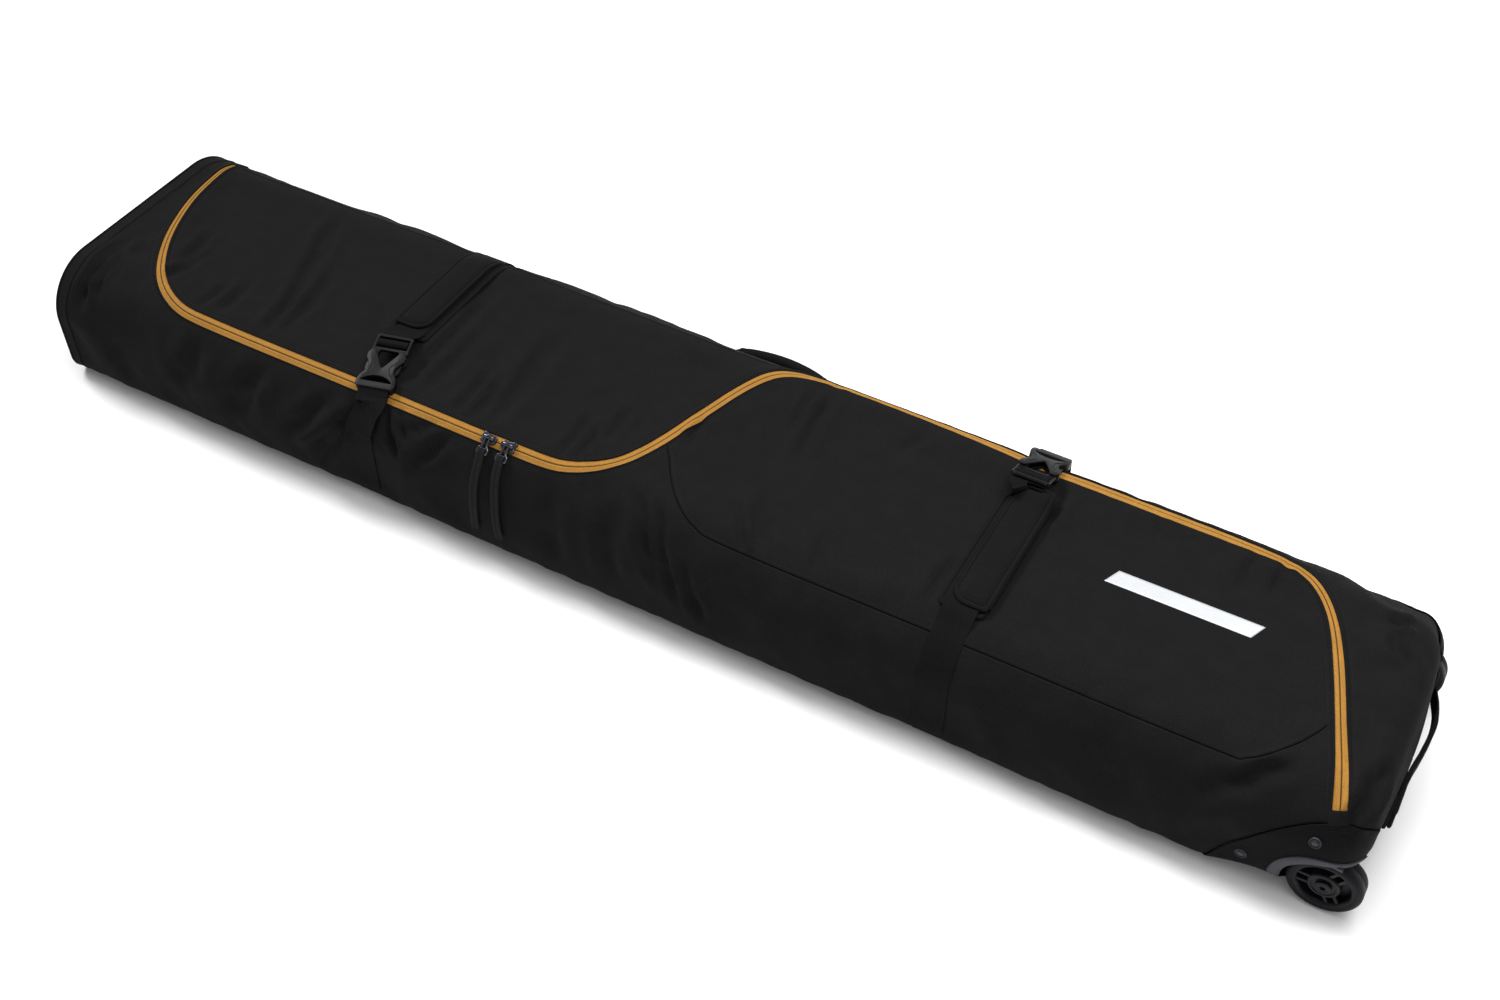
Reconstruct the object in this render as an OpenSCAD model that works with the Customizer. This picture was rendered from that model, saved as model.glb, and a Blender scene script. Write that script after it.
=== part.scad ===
// Wheeled snowboard roller bag, lying on its flat base.
// Origin: centre of the base, on the floor. +X towards the wheels, +Z up, -Y is the
// side that carries the front buckle and the zip pulls.

/* [Bag body] */
// Distance from the origin to the head end, where the bag is pulled
head_x = 840; // [780:10:900]
// Distance from the origin to the end that carries the wheels
tail_x = 838; // [780:2:900]
// Half of the bag's width
half_w = 172; // [160:1:190]
// Height of the flat top
bag_h = 157; // [150:1:170]
// Radius of the two long top edges
top_r = 70; // [60:1:72]
// Radius of the two long bottom edges
bottom_r = 28; // [20:1:34]
// Thickness of the outer fabric with its lining
wall_t = 4; // [3:0.5:6]
// Thickness of the foam sheets behind the walls
foam_t = 6; // [4:1:10]

/* [Zip] */
// Width of one half of the zip tape
tape_w = 9; // [7:0.5:11]
// Thickness of the zip tape
tape_t = 1.6; // [1:0.2:2.4]
// How far the tape stands above the fabric
tape_proud = 0.8; // [0.4:0.2:1.2]
// Width of the closed coil
coil_w = 3; // [2:0.5:5]
// Length of one slider body
slider_l = 17; // [14:1:20]
// Length of a fabric pull tab
tab_l = 96; // [60:2:110]

/* [Wheels] */
// Wheel radius over the tyre
wheel_r = 38.5; // [34:0.5:42]
// Wheel width
wheel_w = 24; // [20:1:28]
// Distance of the wheel axle along X
axle_x = 811; // [800:1:820]
// Outer face of the near wheel, measured from the middle plane
wheel_face_y = 166; // [160:1:168]
// Radius of the axle bolt
bolt_r = 4; // [3:0.5:5]
// Outer radius of the ball bearings
bearing_r = 11; // [9:0.5:13]

/* [Straps] */
// Width of the strap webbing
web_w = 38; // [30:1:40]
// Thickness of the webbing
web_t = 1.6; // [1.2:0.1:2.4]
// Place of the front strap along X on the top
front_top_x = -376; // [-390:1:-360]
// Place of the front strap along X on the near side
front_side_x = -359; // [-372:1:-350]
// Place of the rear strap along X
rear_x = 384; // [370:1:395]
// Width of the padded strap wraps
wrap_w = 54; // [46:1:60]
// Length of the buckles
buckle_l = 76; // [70:1:82]
// Half width of the buckles
buckle_hw = 24; // [22:0.5:26]
// Thickness of the buckles
buckle_t = 9; // [8:0.5:10]

/* [Hidden] */
$fn = 48;

arc_step = 10; // degrees between the points of a rounded corner
top_cy = half_w - top_r; // centre of the long top edge, across
top_cz = bag_h - top_r; // centre of the long top edge, up
base_half = half_w - bottom_r; // half width of the flat base
board_t = 2.5; // thickness of the stiffener in the base
floor_z = wall_t + board_t + foam_t; // inside floor, on the foam
end_r = 42; // plan radius of the wheel end's corners
head_r = 10; // plan radius of the head end's corners
well_r = wheel_r + 4; // radius of the wheel well
well_t = 3; // wall of the wheel housing
well_clear = 0.2; // clearance around the housing
well_mouth = 0.82; // height of the housing's open end over the axle, in well radii
guard_t = 1.2; // thickness of the corner guards on the fabric
well_y = wheel_face_y - wheel_w - 4; // inner wall of the wheel well
end_t = 5; // thickness of the two end panels
shell_x0 = -head_x + 1 + end_t; // the tub runs between the two end panels
shell_x1 = tail_x - end_t;
base_stop = shell_x1 - 54; // the base panel ends here, short of the wheels
foam_stop = axle_x - well_r - 14; // the board and the foam end here
base_inset = 4; // the board's gap to the edge of the base
far_away = 200; // longer than any cut has to be

// The zip's route in plan, from the far corner of the head end to the near wheel corner
zip_stops = [
    [-796, 138], [-794, 90], [-786, 35], [-758, -38], [-716, -97], [-668, -127], [-610, -133],
    [-360, -133], [-130, -133], [-84, -127], [-46, -106], [-20, -58], [3, 18], [24, 84],
    [50, 122], [96, 141], [180, 145], [270, 141], [400, 130], [540, 126], [650, 124],
    [692, 108], [722, 70], [746, 12], [770, -62], [792, -130], [800, -150]
];
zip_cross = 11; // the zip stop where the panel seam starts
zip_meet = 24; // the zip stop where the panel seam ends
// The seam of the top panel over the wheel half, from the zip's crossing to its far bend
seam_stops = [
    [-14, -44], [4, -64], [22, -90], [46, -117], [78, -136], [130, -142], [400, -142],
    [660, -142], [704, -138], [738, -108], [764, -62]
];

// Points of an arc, in degrees
function arc(cx, cy, r, a0, a1) =
    let (n = ceil(abs(a1 - a0) / arc_step))
    [for (i = [0:n]) [cx + r * cos(a0 + (a1 - a0) * i / n), cy + r * sin(a0 + (a1 - a0) * i / n)]];

// One point of a Catmull-Rom curve through four stops
function curve_point(a, b, c, d, t) =
    0.5 * (2 * b + (c - a) * t + (2 * a - 5 * b + 4 * c - d) * t * t
    + (3 * b - a - 3 * c + d) * t * t * t);

// A smooth route through stops, with n points from each stop to the next
function smooth(stops, n) =
    let (last = len(stops) - 1)
    concat(
        [for (i = [0:last - 1], k = [0:n - 1])
            curve_point(stops[max(i - 1, 0)], stops[i], stops[i + 1],
                        stops[min(i + 2, last)], k / n)],
        [stops[last]]);

// Unit vector across a route at point i
function across(route, i) =
    let (a = route[max(i - 1, 0)], b = route[min(i + 1, len(route) - 1)], d = b - a)
    [-d[1], d[0]] / norm(d);

// A band beside a route, between two signed distances from it
function band(route, low, high) =
    concat(
        [for (i = [0:len(route) - 1]) route[i] + across(route, i) * low],
        [for (i = [len(route) - 1:-1:0]) route[i] + across(route, i) * high]);

function part_of(list, first, last) = [for (i = [first:last]) list[i]];
function reversed(list) = [for (i = [len(list) - 1:-1:0]) list[i]];

// The bag's cross-section (y, z), moved out by grow
function section(grow) =
    concat(
        arc(-base_half, bottom_r, bottom_r + grow, 270, 180),
        arc(-top_cy, top_cz, top_r + grow, 180, 90),
        arc(top_cy, top_cz, top_r + grow, 90, 0),
        arc(base_half, bottom_r, bottom_r + grow, 0, -90));

// The bag's outline from above, moved out by grow
function plan(grow) =
    concat(
        arc(-head_x + head_r, half_w - head_r, head_r + grow, 180, 90),
        arc(tail_x - end_r, half_w - end_r, end_r + grow, 90, 0),
        arc(tail_x - end_r, -half_w + end_r, end_r + grow, 0, -90),
        arc(-head_x + head_r, -half_w + head_r, head_r + grow, -90, -180));

zip_fine = 4;
zip_route = smooth(zip_stops, zip_fine);
seam_route = smooth(seam_stops, 3);
cross_route = part_of(zip_route, 0, (zip_cross + 3) * zip_fine + 4);
wheel_route = part_of(zip_route, zip_cross * zip_fine, zip_meet * zip_fine);

head_region = concat(cross_route, [[60, half_w + 20], [-796, half_w + 20]]);
wheel_region = concat(wheel_route, reversed(seam_route));
hinge_y = 140; // the head flap bends along this line on the far side

// Outlines in plan of the tabs that finish the zip, at the wheel end and the head end
wheel_tab = [[790, -163], [812, -163], [812, -149], [790, -149]];
head_tab = [[-807, 134], [-785, 134], [-785, 156], [-807, 156]];
// Outline of a corner guard on the side of the bag (x, z)
guard_outline = [
    [692, 6], [704, 34], [722, 68], [745, 98], [775, 122], [800, 130], [832, 136], [832, 6]
];

// ---- Building blocks

module solid_bag(grow) {
    intersection() {
        translate([-head_x, 0, 0])
            rotate([90, 0, 90])
                linear_extrude(head_x + tail_x) polygon(section(grow));
        translate([0, 0, -far_away / 2])
            linear_extrude(2 * far_away) polygon(plan(grow));
    }
}

module shell(outer, inner) {
    difference() {
        solid_bag(outer);
        solid_bag(inner);
    }
}

// Upright cutter over an outline in plan, reaching down to the top half only
module over(outline) {
    translate([0, 0, bag_h * 0.5])
        linear_extrude(bag_h) polygon(outline);
}

// Cuts the room of both wheels, from y_in outwards
module wheel_wells(y_in) {
    r = well_r + well_t + well_clear;
    for (side = [-1, 1])
        translate([axle_x, side * (y_in + far_away / 2), wheel_r]) {
            rotate([90, 0, 0])
                cylinder(h = far_away, r = r, center = true, $fn = 64);
            translate([0, -far_away / 2, -far_away])
                cube([far_away, far_away, far_away + r * well_mouth]);
        }
}

// A flat ribbon along a (y, z) route, drawn across its width in x
module ribbon(route, x, w, t) {
    translate([x - w / 2, 0, 0])
        rotate([90, 0, 90])
            linear_extrude(w) polygon(band(route, -t / 2, t / 2));
}

module zip_band(low, high) {
    over(band(zip_route, low, high));
}

// ---- Bag body

module base_panel() {
    color("#151517")
        translate([shell_x0, -base_half, 0])
            cube([base_stop - shell_x0, 2 * base_half, wall_t]);
}

module base_board() {
    color("#2a2a2c")
        translate([shell_x0 + base_inset, -base_half + base_inset, wall_t])
            cube([foam_stop - shell_x0 - base_inset, 2 * (base_half - base_inset), board_t]);
}

module foam_base() {
    color("#4a4a4d")
        translate([shell_x0 + base_inset, -base_half + base_inset, wall_t + board_t])
            cube([foam_stop - shell_x0 - base_inset, 2 * (base_half - base_inset), foam_t]);
}

module foam_side(side) {
    foam_start = shell_x0 + head_r;
    color("#4a4a4d")
        translate([foam_start, side * (half_w - wall_t - foam_t / 2) - foam_t / 2, bottom_r + 2])
            cube([foam_stop - foam_start, foam_t, top_cz - bottom_r - 4]);
}

module foam_near() {
    foam_side(-1);
}

module foam_far() {
    foam_side(1);
}

// Walls and the fixed parts of the top: open where the two flaps lie
module tub_fabric() {
    color("#1b1b1d")
        difference() {
            intersection() {
                shell(0, -wall_t);
                translate([shell_x0, -far_away, -1])
                    cube([shell_x1 - shell_x0, 2 * far_away, far_away]);
            }
            translate([shell_x0 - 1, -base_half, -1])
                cube([base_stop - shell_x0 + 1, 2 * base_half, wall_t + 2]);
            intersection() {
                over(head_region);
                translate([-head_x, -half_w, 0])
                    cube([2 * head_x, half_w + hinge_y, 2 * bag_h]);
            }
            over(wheel_region);
            zip_band(-tape_w, tape_w);
            wheel_wells(well_y - well_t - well_clear);
        }
}

module head_flap() {
    color("#1b1b1d")
        difference() {
            intersection() {
                shell(0, -wall_t);
                over(head_region);
                translate([-head_x, -half_w, 0])
                    cube([2 * head_x, half_w + hinge_y, 2 * bag_h]);
            }
            zip_band(-tape_w, tape_w);
        }
}

module wheel_flap() {
    color("#1b1b1d")
        difference() {
            intersection() {
                shell(0, -wall_t);
                over(wheel_region);
            }
            zip_band(-tape_w, tape_w);
        }
}

seam_in = 2; // the head panel's seam lies this far inside the outline
seam_out = 1.5; // and its binding stands this far outside it

module head_end_panel() {
    color("#19191b")
        translate([-head_x + 1, 0, 0])
            rotate([90, 0, 90])
                linear_extrude(end_t) polygon(section(-seam_in));
}

module wheel_end_panel() {
    color("#19191b")
        difference() {
            intersection() {
                solid_bag(0);
                translate([shell_x1, -half_w, 0])
                    cube([tail_x - shell_x1, 2 * half_w, bag_h]);
            }
            wheel_wells(well_y - well_t - well_clear);
        }
}

// Bound seam around the head end
module head_piping() {
    color("#101012")
        intersection() {
            translate([-head_x, 0, 0])
                rotate([90, 0, 90])
                    linear_extrude(end_t + 1)
                        difference() {
                            polygon(section(seam_out));
                            polygon(section(-seam_in));
                        }
            translate([-head_x - 1, -far_away, 0])
                cube([far_away, 2 * far_away, far_away]);
        }
}

// ---- Zip

module tape(low, high, z0, z1) {
    intersection() {
        shell(z1, z0);
        zip_band(low, high);
        translate([shell_x0, -far_away, 0])
            cube([shell_x1 - shell_x0, 2 * far_away, far_away]);
    }
}

module zip_tape_outer() {
    color("#c08a3e")
        tape(-tape_w, -coil_w / 2, tape_proud - tape_t, tape_proud);
}

module zip_tape_inner() {
    color("#c08a3e")
        tape(coil_w / 2, tape_w, tape_proud - tape_t, tape_proud);
}

module zip_coil() {
    color("#8a5f28")
        tape(-coil_w / 2, coil_w / 2, tape_proud - tape_t, tape_proud + 0.3);
}

// Folded fabric tabs that finish the two ends of the zip
module zip_end_tabs() {
    color("#141416")
        for (outline = [wheel_tab, head_tab])
            intersection() {
                shell(tape_proud + 1, tape_proud + 0.4);
                over(outline);
            }
}

// ---- Wheel end

module corner_guard(side) {
    color("#161618")
        difference() {
            intersection() {
                shell(guard_t, 0);
                rotate([90, 0, 0])
                    linear_extrude(4 * half_w, center = true) polygon(guard_outline);
                translate([0, side * half_w - 50, 0])
                    cube([tail_x, 100, far_away]);
            }
            wheel_wells(half_w / 2);
        }
}

module corner_guard_near() {
    corner_guard(-1);
}

module corner_guard_far() {
    corner_guard(1);
}

// Moulded wheel well with the plate that carries the axle bolt; side is -1 near, 1 far
module wheel_housing(side) {
    color("#3a3942")
        translate([axle_x, 0, wheel_r])
            rotate([90, 0, 0])
                scale([1, 1, -side])
                    wheel_housing_shape();
}

// Drawn around the axle, with the outside of the bag towards +Z
module wheel_housing_shape() {
    outer = well_r + well_t;
    difference() {
        intersection() {
            translate([0, 0, well_y - well_t])
                cylinder(h = half_w - 1.5 - well_y + well_t, r = outer, $fn = 96);
            translate([-outer, -wheel_r + 1, 0])
                cube([outer + tail_x - axle_x - 1, 2 * outer, far_away]);
        }
        translate([0, 0, well_y])
            cylinder(h = far_away, r = well_r, $fn = 96);
        translate([0, -far_away, well_y])
            cube([far_away, far_away + well_r * well_mouth, far_away]);
        translate([0, 0, well_y - well_t - 1])
            cylinder(h = well_t + 2, r = bolt_r, $fn = 48);
    }
}

module wheel_housing_near() {
    wheel_housing(-1);
}

module wheel_housing_far() {
    wheel_housing(1);
}

rivet_places = [[728, 47], [789, 106]]; // the two rivets of a corner guard (x, z)

// Rivets with washers through the corner guards
module housing_rivets() {
    color("#55555a")
        for (side = [-1, 1], place = rivet_places)
            translate([place[0], side * (rivet_y(place[1]) + 1), place[1]])
                rotate([90 + side * rivet_tilt(place[1]), 0, 0]) {
                    cylinder(h = 1.6, r = 6, center = true);
                    cylinder(h = 3, r = 3.4, center = true);
                }
}

// Half width of the bag at height z, and the slope of its side there
function rivet_y(z) = z < top_cz ? half_w : top_cy + sqrt(top_r * top_r - pow(z - top_cz, 2));
function rivet_tilt(z) = z < top_cz ? 0 : asin((z - top_cz) / top_r);

module on_axle(side) {
    translate([axle_x, 0, wheel_r])
        rotate([90, 0, 0])
            scale([1, 1, -side])
                children();
}

// Axle bolt with a hexagon socket; its head is outside the wheel, its nut inside the bag
module axle_bolt(side) {
    head_h = 3;
    head_sunk = 1.6; // the head starts this far inside the wheel's face
    nut_h = 6;
    collar_h = 3.4; // spacer between the housing and the wheel
    shaft_end = well_y - well_t - nut_h;
    color("#2c2c30")
        on_axle(side)
            difference() {
                union() {
                    translate([0, 0, shaft_end])
                        cylinder(h = wheel_face_y - head_sunk - shaft_end, r = bolt_r);
                    translate([0, 0, wheel_face_y - head_sunk])
                        cylinder(h = head_h, r = 8.5);
                    translate([0, 0, shaft_end])
                        cylinder(h = nut_h, r = 8);
                    translate([0, 0, well_y])
                        cylinder(h = collar_h, r = 6.5);
                }
                translate([0, 0, wheel_face_y - 1])
                    cylinder(h = head_h, r = 3.2, $fn = 6);
            }
}

module axle_bolt_near() {
    axle_bolt(-1);
}

module axle_bolt_far() {
    axle_bolt(1);
}

core_r = 30; // outside of the moulded wheel core
rim_t = 4; // thickness of its rim, its web and its ribs
hub_r = 14;
spokes = 6;
seat_l = 8.5; // depth of the two bearing seats
bearing_w = 7;
bearing_y = wheel_face_y - 9.6; // the outer bearing starts here

// Moulded core: hub, web with ribs, and rim
module wheel_core(side) {
    y0 = wheel_face_y - wheel_w;
    color("#232329")
        on_axle(side)
            difference() {
                union() {
                    translate([0, 0, y0])
                        cylinder(h = wheel_w - 1.8, r = hub_r);
                    translate([0, 0, y0 + (wheel_w - rim_t) / 2])
                        cylinder(h = rim_t, r = core_r - rim_t / 2);
                    difference() {
                        translate([0, 0, y0])
                            cylinder(h = wheel_w, r = core_r);
                        translate([0, 0, y0 - 1])
                            cylinder(h = wheel_w + 2, r = core_r - rim_t);
                    }
                    for (i = [0:spokes - 1])
                        rotate([0, 0, 360 / spokes * i])
                            translate([hub_r - 2, -rim_t / 2, y0 + rim_t])
                                cube([core_r - hub_r, rim_t, wheel_w - 2 * rim_t]);
                }
                translate([0, 0, y0 - 1])
                    cylinder(h = wheel_w + 2, r = bearing_r - 2.5);
                translate([0, 0, y0 - 1])
                    cylinder(h = seat_l, r = bearing_r);
                translate([0, 0, bearing_y])
                    cylinder(h = far_away, r = bearing_r);
            }
}

module wheel_core_near() {
    wheel_core(-1);
}

module wheel_core_far() {
    wheel_core(1);
}

// Tread ring with rounded shoulders
module tyre(side) {
    shoulder = 5;
    color("#1c1c20")
        on_axle(side)
            translate([0, 0, wheel_face_y - wheel_w])
                rotate_extrude($fn = 96)
                    polygon(concat(
                        [[core_r, 0]],
                        arc(wheel_r - shoulder, shoulder, shoulder, -90, 0),
                        arc(wheel_r - shoulder, wheel_w - shoulder, shoulder, 0, 90),
                        [[core_r, wheel_w]]));
}

module tyre_near() {
    tyre(-1);
}

module tyre_far() {
    tyre(1);
}

module bearings(side) {
    color("#8c8c90")
        on_axle(side)
            for (y = [wheel_face_y - wheel_w + 0.5, bearing_y])
                translate([0, 0, y])
                    difference() {
                        cylinder(h = bearing_w, r = bearing_r);
                        translate([0, 0, -1])
                            cylinder(h = bearing_w + 2, r = bolt_r + 0.05);
                    }
}

module bearings_near() {
    bearings(-1);
}

module bearings_far() {
    bearings(1);
}

// ---- Straps

web_lift = 2; // middle of the webbing above the fabric
wrap_z = bag_h + 4.6; // middle of the webbing inside the wraps
wrap_gap = 0.3; // gap between a wrap and what it lies on
front_c = [-363.4, -98.4, 166.4]; // middle of the front buckle
front_turn = -75; // heading of the front buckle's release direction
front_tilt = 12;
rear_c = [377, 116, 164];
rear_turn = 90;
rear_tilt = 22;
web_r = top_r + web_lift;

module at_front() {
    translate(front_c)
        rotate([0, 0, front_turn])
            rotate([0, front_tilt, 0])
                children();
}

module at_rear() {
    translate(rear_c)
        rotate([0, 0, rear_turn])
            rotate([0, rear_tilt, 0])
                children();
}

// Webbing up one side of the bag; side is -1 near, 1 far, ending at an angle of the top edge
function side_run(side, end_angle) =
    concat(
        [[side * (half_w + web_lift), 12]],
        [for (p = arc(top_cy, top_cz, web_r, 0, end_angle)) [side * p[0], p[1]]]);

// From the far base seam, over the far edge and through the wrap to the buckle
module strap_front_upper() {
    color("#141416")
        ribbon(concat(side_run(1, 80), [[100, wrap_z], [-36, wrap_z], [-44, wrap_z + 1.5],
                      [-56, wrap_z + 7]]), front_top_x, web_w, web_t);
}

module strap_front_lower() {
    color("#141416")
        ribbon(side_run(-1, 26), front_side_x, web_w, web_t);
}

module strap_rear_upper() {
    color("#141416")
        ribbon(concat(side_run(-1, 80), [[-100, wrap_z], [63, wrap_z], [68, wrap_z + 2],
                      [76, wrap_z + 8]]), rear_x - 2, web_w, web_t);
}

module strap_rear_lower() {
    color("#141416")
        ribbon(side_run(1, 20), rear_x - 6, web_w, web_t);
}

// Padded half of a wrap that lies under the webbing
module wrap_base(x, y0, y1) {
    color("#18181a")
        translate([x - wrap_w / 2, y0, bag_h + wrap_gap])
            cube([wrap_w, y1 - y0, 3.2]);
}

// Padded half of a wrap that closes over the webbing, with a hinge side along x
module wrap_flap(x, y0, y1) {
    color("#1a1a1c")
        translate([x - wrap_w / 2, y0, wrap_z + web_t / 2 + wrap_gap])
            cube([wrap_w, y1 - y0, 4]);
}

front_wrap = [-37, 98]; // span of the front wrap across the bag
rear_wrap = [-98, 62]; // span of the rear wrap across the bag

module wrap_front_base() {
    wrap_base(front_top_x, front_wrap[0], front_wrap[1]);
}

module wrap_rear_base() {
    wrap_base(rear_x, rear_wrap[0], rear_wrap[1]);
}

module wrap_front_flap() {
    wrap_flap(front_top_x, front_wrap[0], front_wrap[1]);
}

module wrap_rear_flap() {
    wrap_flap(rear_x, rear_wrap[0], rear_wrap[1]);
}

// ---- Side release buckle, drawn flat: x is the release direction, y across, z up

pocket_t = 5; // height of the pocket between the two plates
pocket_hw = 21.4; // half width of the pocket's mouth
slot_w = 5.5; // width of the slots that the webbing passes
prong_x = -buckle_l / 2 + 27; // hinge of the prongs
prong_y = 15;
prong_t = 4.2; // thickness of the prongs
mouth_x = -9; // mouth of the female half

// Ladder frame with two bars, shoulders and a centre tongue
module male_shape() {
    frame_x = -buckle_l / 2;
    color("#2b2b2e")
        difference() {
            union() {
                translate([frame_x, -buckle_hw + 2, -2.2])
                    cube([mouth_x - 1 - frame_x, 2 * buckle_hw - 4, 4.4]);
                translate([mouth_x - 3, -5.5, -pocket_t / 2 + 0.4])
                    cube([30, 11, pocket_t - 0.8]);
            }
            for (x = [frame_x + 4.5, frame_x + 13])
                translate([x, -web_w / 2 - 0.6, -5])
                    cube([slot_w, web_w + 1.2, 10]);
            for (side = [-1, 1])
                translate([prong_x, side * prong_y, -5]) {
                    cylinder(h = 10, r = 3.3);
                    translate([0, -4, 0])
                        cube([20, 8, 10]);
                }
        }
}

// Springy side arm with its thumb pad; side is -1 or 1
module prong_shape(side) {
    color("#303033")
        translate([0, 0, -prong_t / 2])
            scale([1, side, 1])
                union() {
                    translate([prong_x, prong_y, 0])
                        cylinder(h = prong_t, r = 2.9);
                    linear_extrude(prong_t)
                        polygon(concat(
                            [[prong_x, prong_y - 2.2]],
                            [[0, 11.5], [14, 12.5], [19, 14.5]],
                            arc(18, 17.5, 2.4, -60, 60),
                            [[15, 20.9], [4, 20.9], [-4, 19.5], [prong_x, prong_y + 2.4]]));
                }
}

// Outline of the female half's plates; its sides are open at the thumb pads
function female_outline() =
    let (half = concat(
        arc(mouth_x + 6, 18, 6, 180, 90),
        [[2, 23.2], [5, 20]],
        arc(9, 17, 4, 150, 30),
        [[17, 21.5], [20, buckle_hw], [buckle_l / 2 - 4, buckle_hw]],
        arc(buckle_l / 2 - 4, buckle_hw - 4, 4, 90, 0)))
    concat(half, [for (p = reversed(half)) [p[0], -p[1]]]);

module female_plate(notch) {
    linear_extrude((buckle_t - pocket_t) / 2)
        difference() {
            polygon(female_outline());
            if (notch)
                polygon([[mouth_x - 4, -13], [6, -4], [12, 0], [6, 4], [mouth_x - 4, 13]]);
            translate([buckle_l / 2 - 2 * slot_w, -web_w / 2])
                square([slot_w, web_w]);
        }
}

module female_shape() {
    color("#3c3c40") {
        translate([0, 0, pocket_t / 2])
            female_plate(true);
        translate([0, 0, -buckle_t / 2])
            female_plate(false);
        // Closed rear of the pocket, around the webbing slot
        translate([0, 0, -pocket_t / 2])
            linear_extrude(pocket_t)
                difference() {
                    intersection() {
                        polygon(female_outline());
                        translate([22, -buckle_hw])
                            square([40, 2 * buckle_hw]);
                    }
                    translate([buckle_l / 2 - 2 * slot_w, -web_w / 2])
                        square([slot_w, web_w]);
                }
        // Side walls of the mouth
        for (side = [-1, 1])
            translate([mouth_x + 3, side * (pocket_hw + buckle_hw) / 2 - 1.1, -pocket_t / 2])
                cube([7, 2.2, pocket_t]);
    }
}

module buckle_male_front() {
    at_front() male_shape();
}

module buckle_male_rear() {
    at_rear() male_shape();
}

module buckle_female_front() {
    at_front() female_shape();
}

module buckle_female_rear() {
    at_rear() female_shape();
}

module prong_front_left() {
    at_front() prong_shape(1);
}

module prong_front_right() {
    at_front() prong_shape(-1);
}

module prong_rear_left() {
    at_rear() prong_shape(1);
}

module prong_rear_right() {
    at_rear() prong_shape(-1);
}

// ---- Zip sliders and pulls

slider_y = -133; // the straight run of the zip
slider_a_x = -192;
slider_b_x = -166;
slider_z = top_cz + sqrt(pow(top_r, 2) - pow(slider_y + top_cy, 2)); // fabric under the slider
slider_lean = asin((-slider_y - top_cy) / top_r); // slope of the fabric there
bridge_r = 1.3;
bridge_up = 6.6; // bridge bar above the fabric

// Frame on the fabric under a slider: x along the zip, z away from the bag
module at_slider(x) {
    translate([x, slider_y, slider_z])
        rotate([slider_lean, 0, 0])
            children();
}

module slider_shape() {
    color("#3a3c42") {
        translate([-slider_l / 2, -5.5, tape_proud + 0.6])
            cube([slider_l, 11, 2]);
        for (x = [-4.6, 3])
            translate([x, -2, tape_proud + 2])
                cube([1.6, 4, 4.4]);
        translate([-4.6, 0, bridge_up])
            rotate([0, 90, 0])
                cylinder(h = 9.2, r = bridge_r, $fn = 24);
    }
}

module zip_slider_a() {
    at_slider(slider_a_x) slider_shape();
}

module zip_slider_b() {
    at_slider(slider_b_x) slider_shape();
}

// Metal loop on the slider's bridge
module link_shape() {
    color("#44464c")
        difference() {
            union() {
                rotate([0, 90, 0])
                    cylinder(h = 5, r = bridge_r + 1.5, center = true, $fn = 32);
                translate([-2.5, -15, -1.2])
                    cube([5, 14, 2.4]);
                translate([-5, -17, -1.2])
                    cube([10, 4, 2.4]);
            }
            rotate([0, 90, 0])
                cylinder(h = 20, r = bridge_r + 0.08, center = true, $fn = 32);
        }
}

// The pull's own frame: origin on the bridge, -Y towards the near side of the bag
module at_pull(x) {
    translate([x, slider_y - bridge_up * sin(slider_lean), slider_z + bridge_up * cos(slider_lean)])
        children();
}

link_drop = 34; // the link leans down by this angle

module pull_link(x) {
    at_pull(x)
        rotate([link_drop, 0, 0])
            link_shape();
}

module pull_link_a() {
    pull_link(slider_a_x);
}

module pull_link_b() {
    pull_link(slider_b_x);
}

// Cord tab: it follows the rounded edge and then hangs beside the wall
tab_gap = 3.4; // middle of the tab above the fabric
tab_route = concat(
    [for (p = arc(top_cy, top_cz, top_r + tab_gap, 52, 0)) [-p[0], p[1]]],
    [[-half_w - tab_gap, top_cz - 10], [-half_w - tab_gap, top_cz - tab_l * 0.42]]);

module pull_tab(x) {
    color("#141416")
        ribbon(tab_route, x, 11, 2.4);
}

module pull_tab_a() {
    pull_tab(slider_a_x);
}

module pull_tab_b() {
    pull_tab(slider_b_x);
}

// ---- Inside

// Tie-down strap across the floor of the bag
module inner_strap(x) {
    reach = half_w - wall_t - foam_t - 1.2;
    color("#252528") {
        translate([x - 12.5, -base_half + 6, floor_z])
            cube([25, 2 * base_half - 12, 1.4]);
        for (side = [-1, 1])
            translate([x - 12.5, side * reach - 0.7, bottom_r + 8])
                cube([25, 1.4, 46]);
    }
}

module inner_strap_head() {
    inner_strap(-420);
}

module inner_strap_wheel() {
    inner_strap(330);
}

// ---- Handles

side_handle_x = 10; // middle of the carry handle on the far side
side_handle_z = 88;
side_handle_out = 27; // from its hinge line to the middle of the grip
side_grip_l = 118;
side_grip_r = 9.5;
side_splay = 0.32; // how far its ends spread towards the patches, per length
side_hinge_y = half_w + 4;
end_handle_z = 88;
side_patch_x = 82; // middle of the side handle's patches, from its middle
end_patch_y = 94; // middle of the end handles' patches
patch_h = 30;

module at_side_handle() {
    translate([side_handle_x, side_hinge_y, side_handle_z])
        children();
}

module side_handle_grip() {
    color("#18181a")
        at_side_handle()
            translate([0, side_handle_out, 0])
                rotate([0, 90, 0])
                    difference() {
                        cylinder(h = side_grip_l, r = side_grip_r, center = true);
                        cylinder(h = side_grip_l + 2, r = 4.5, center = true);
                    }
}

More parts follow.
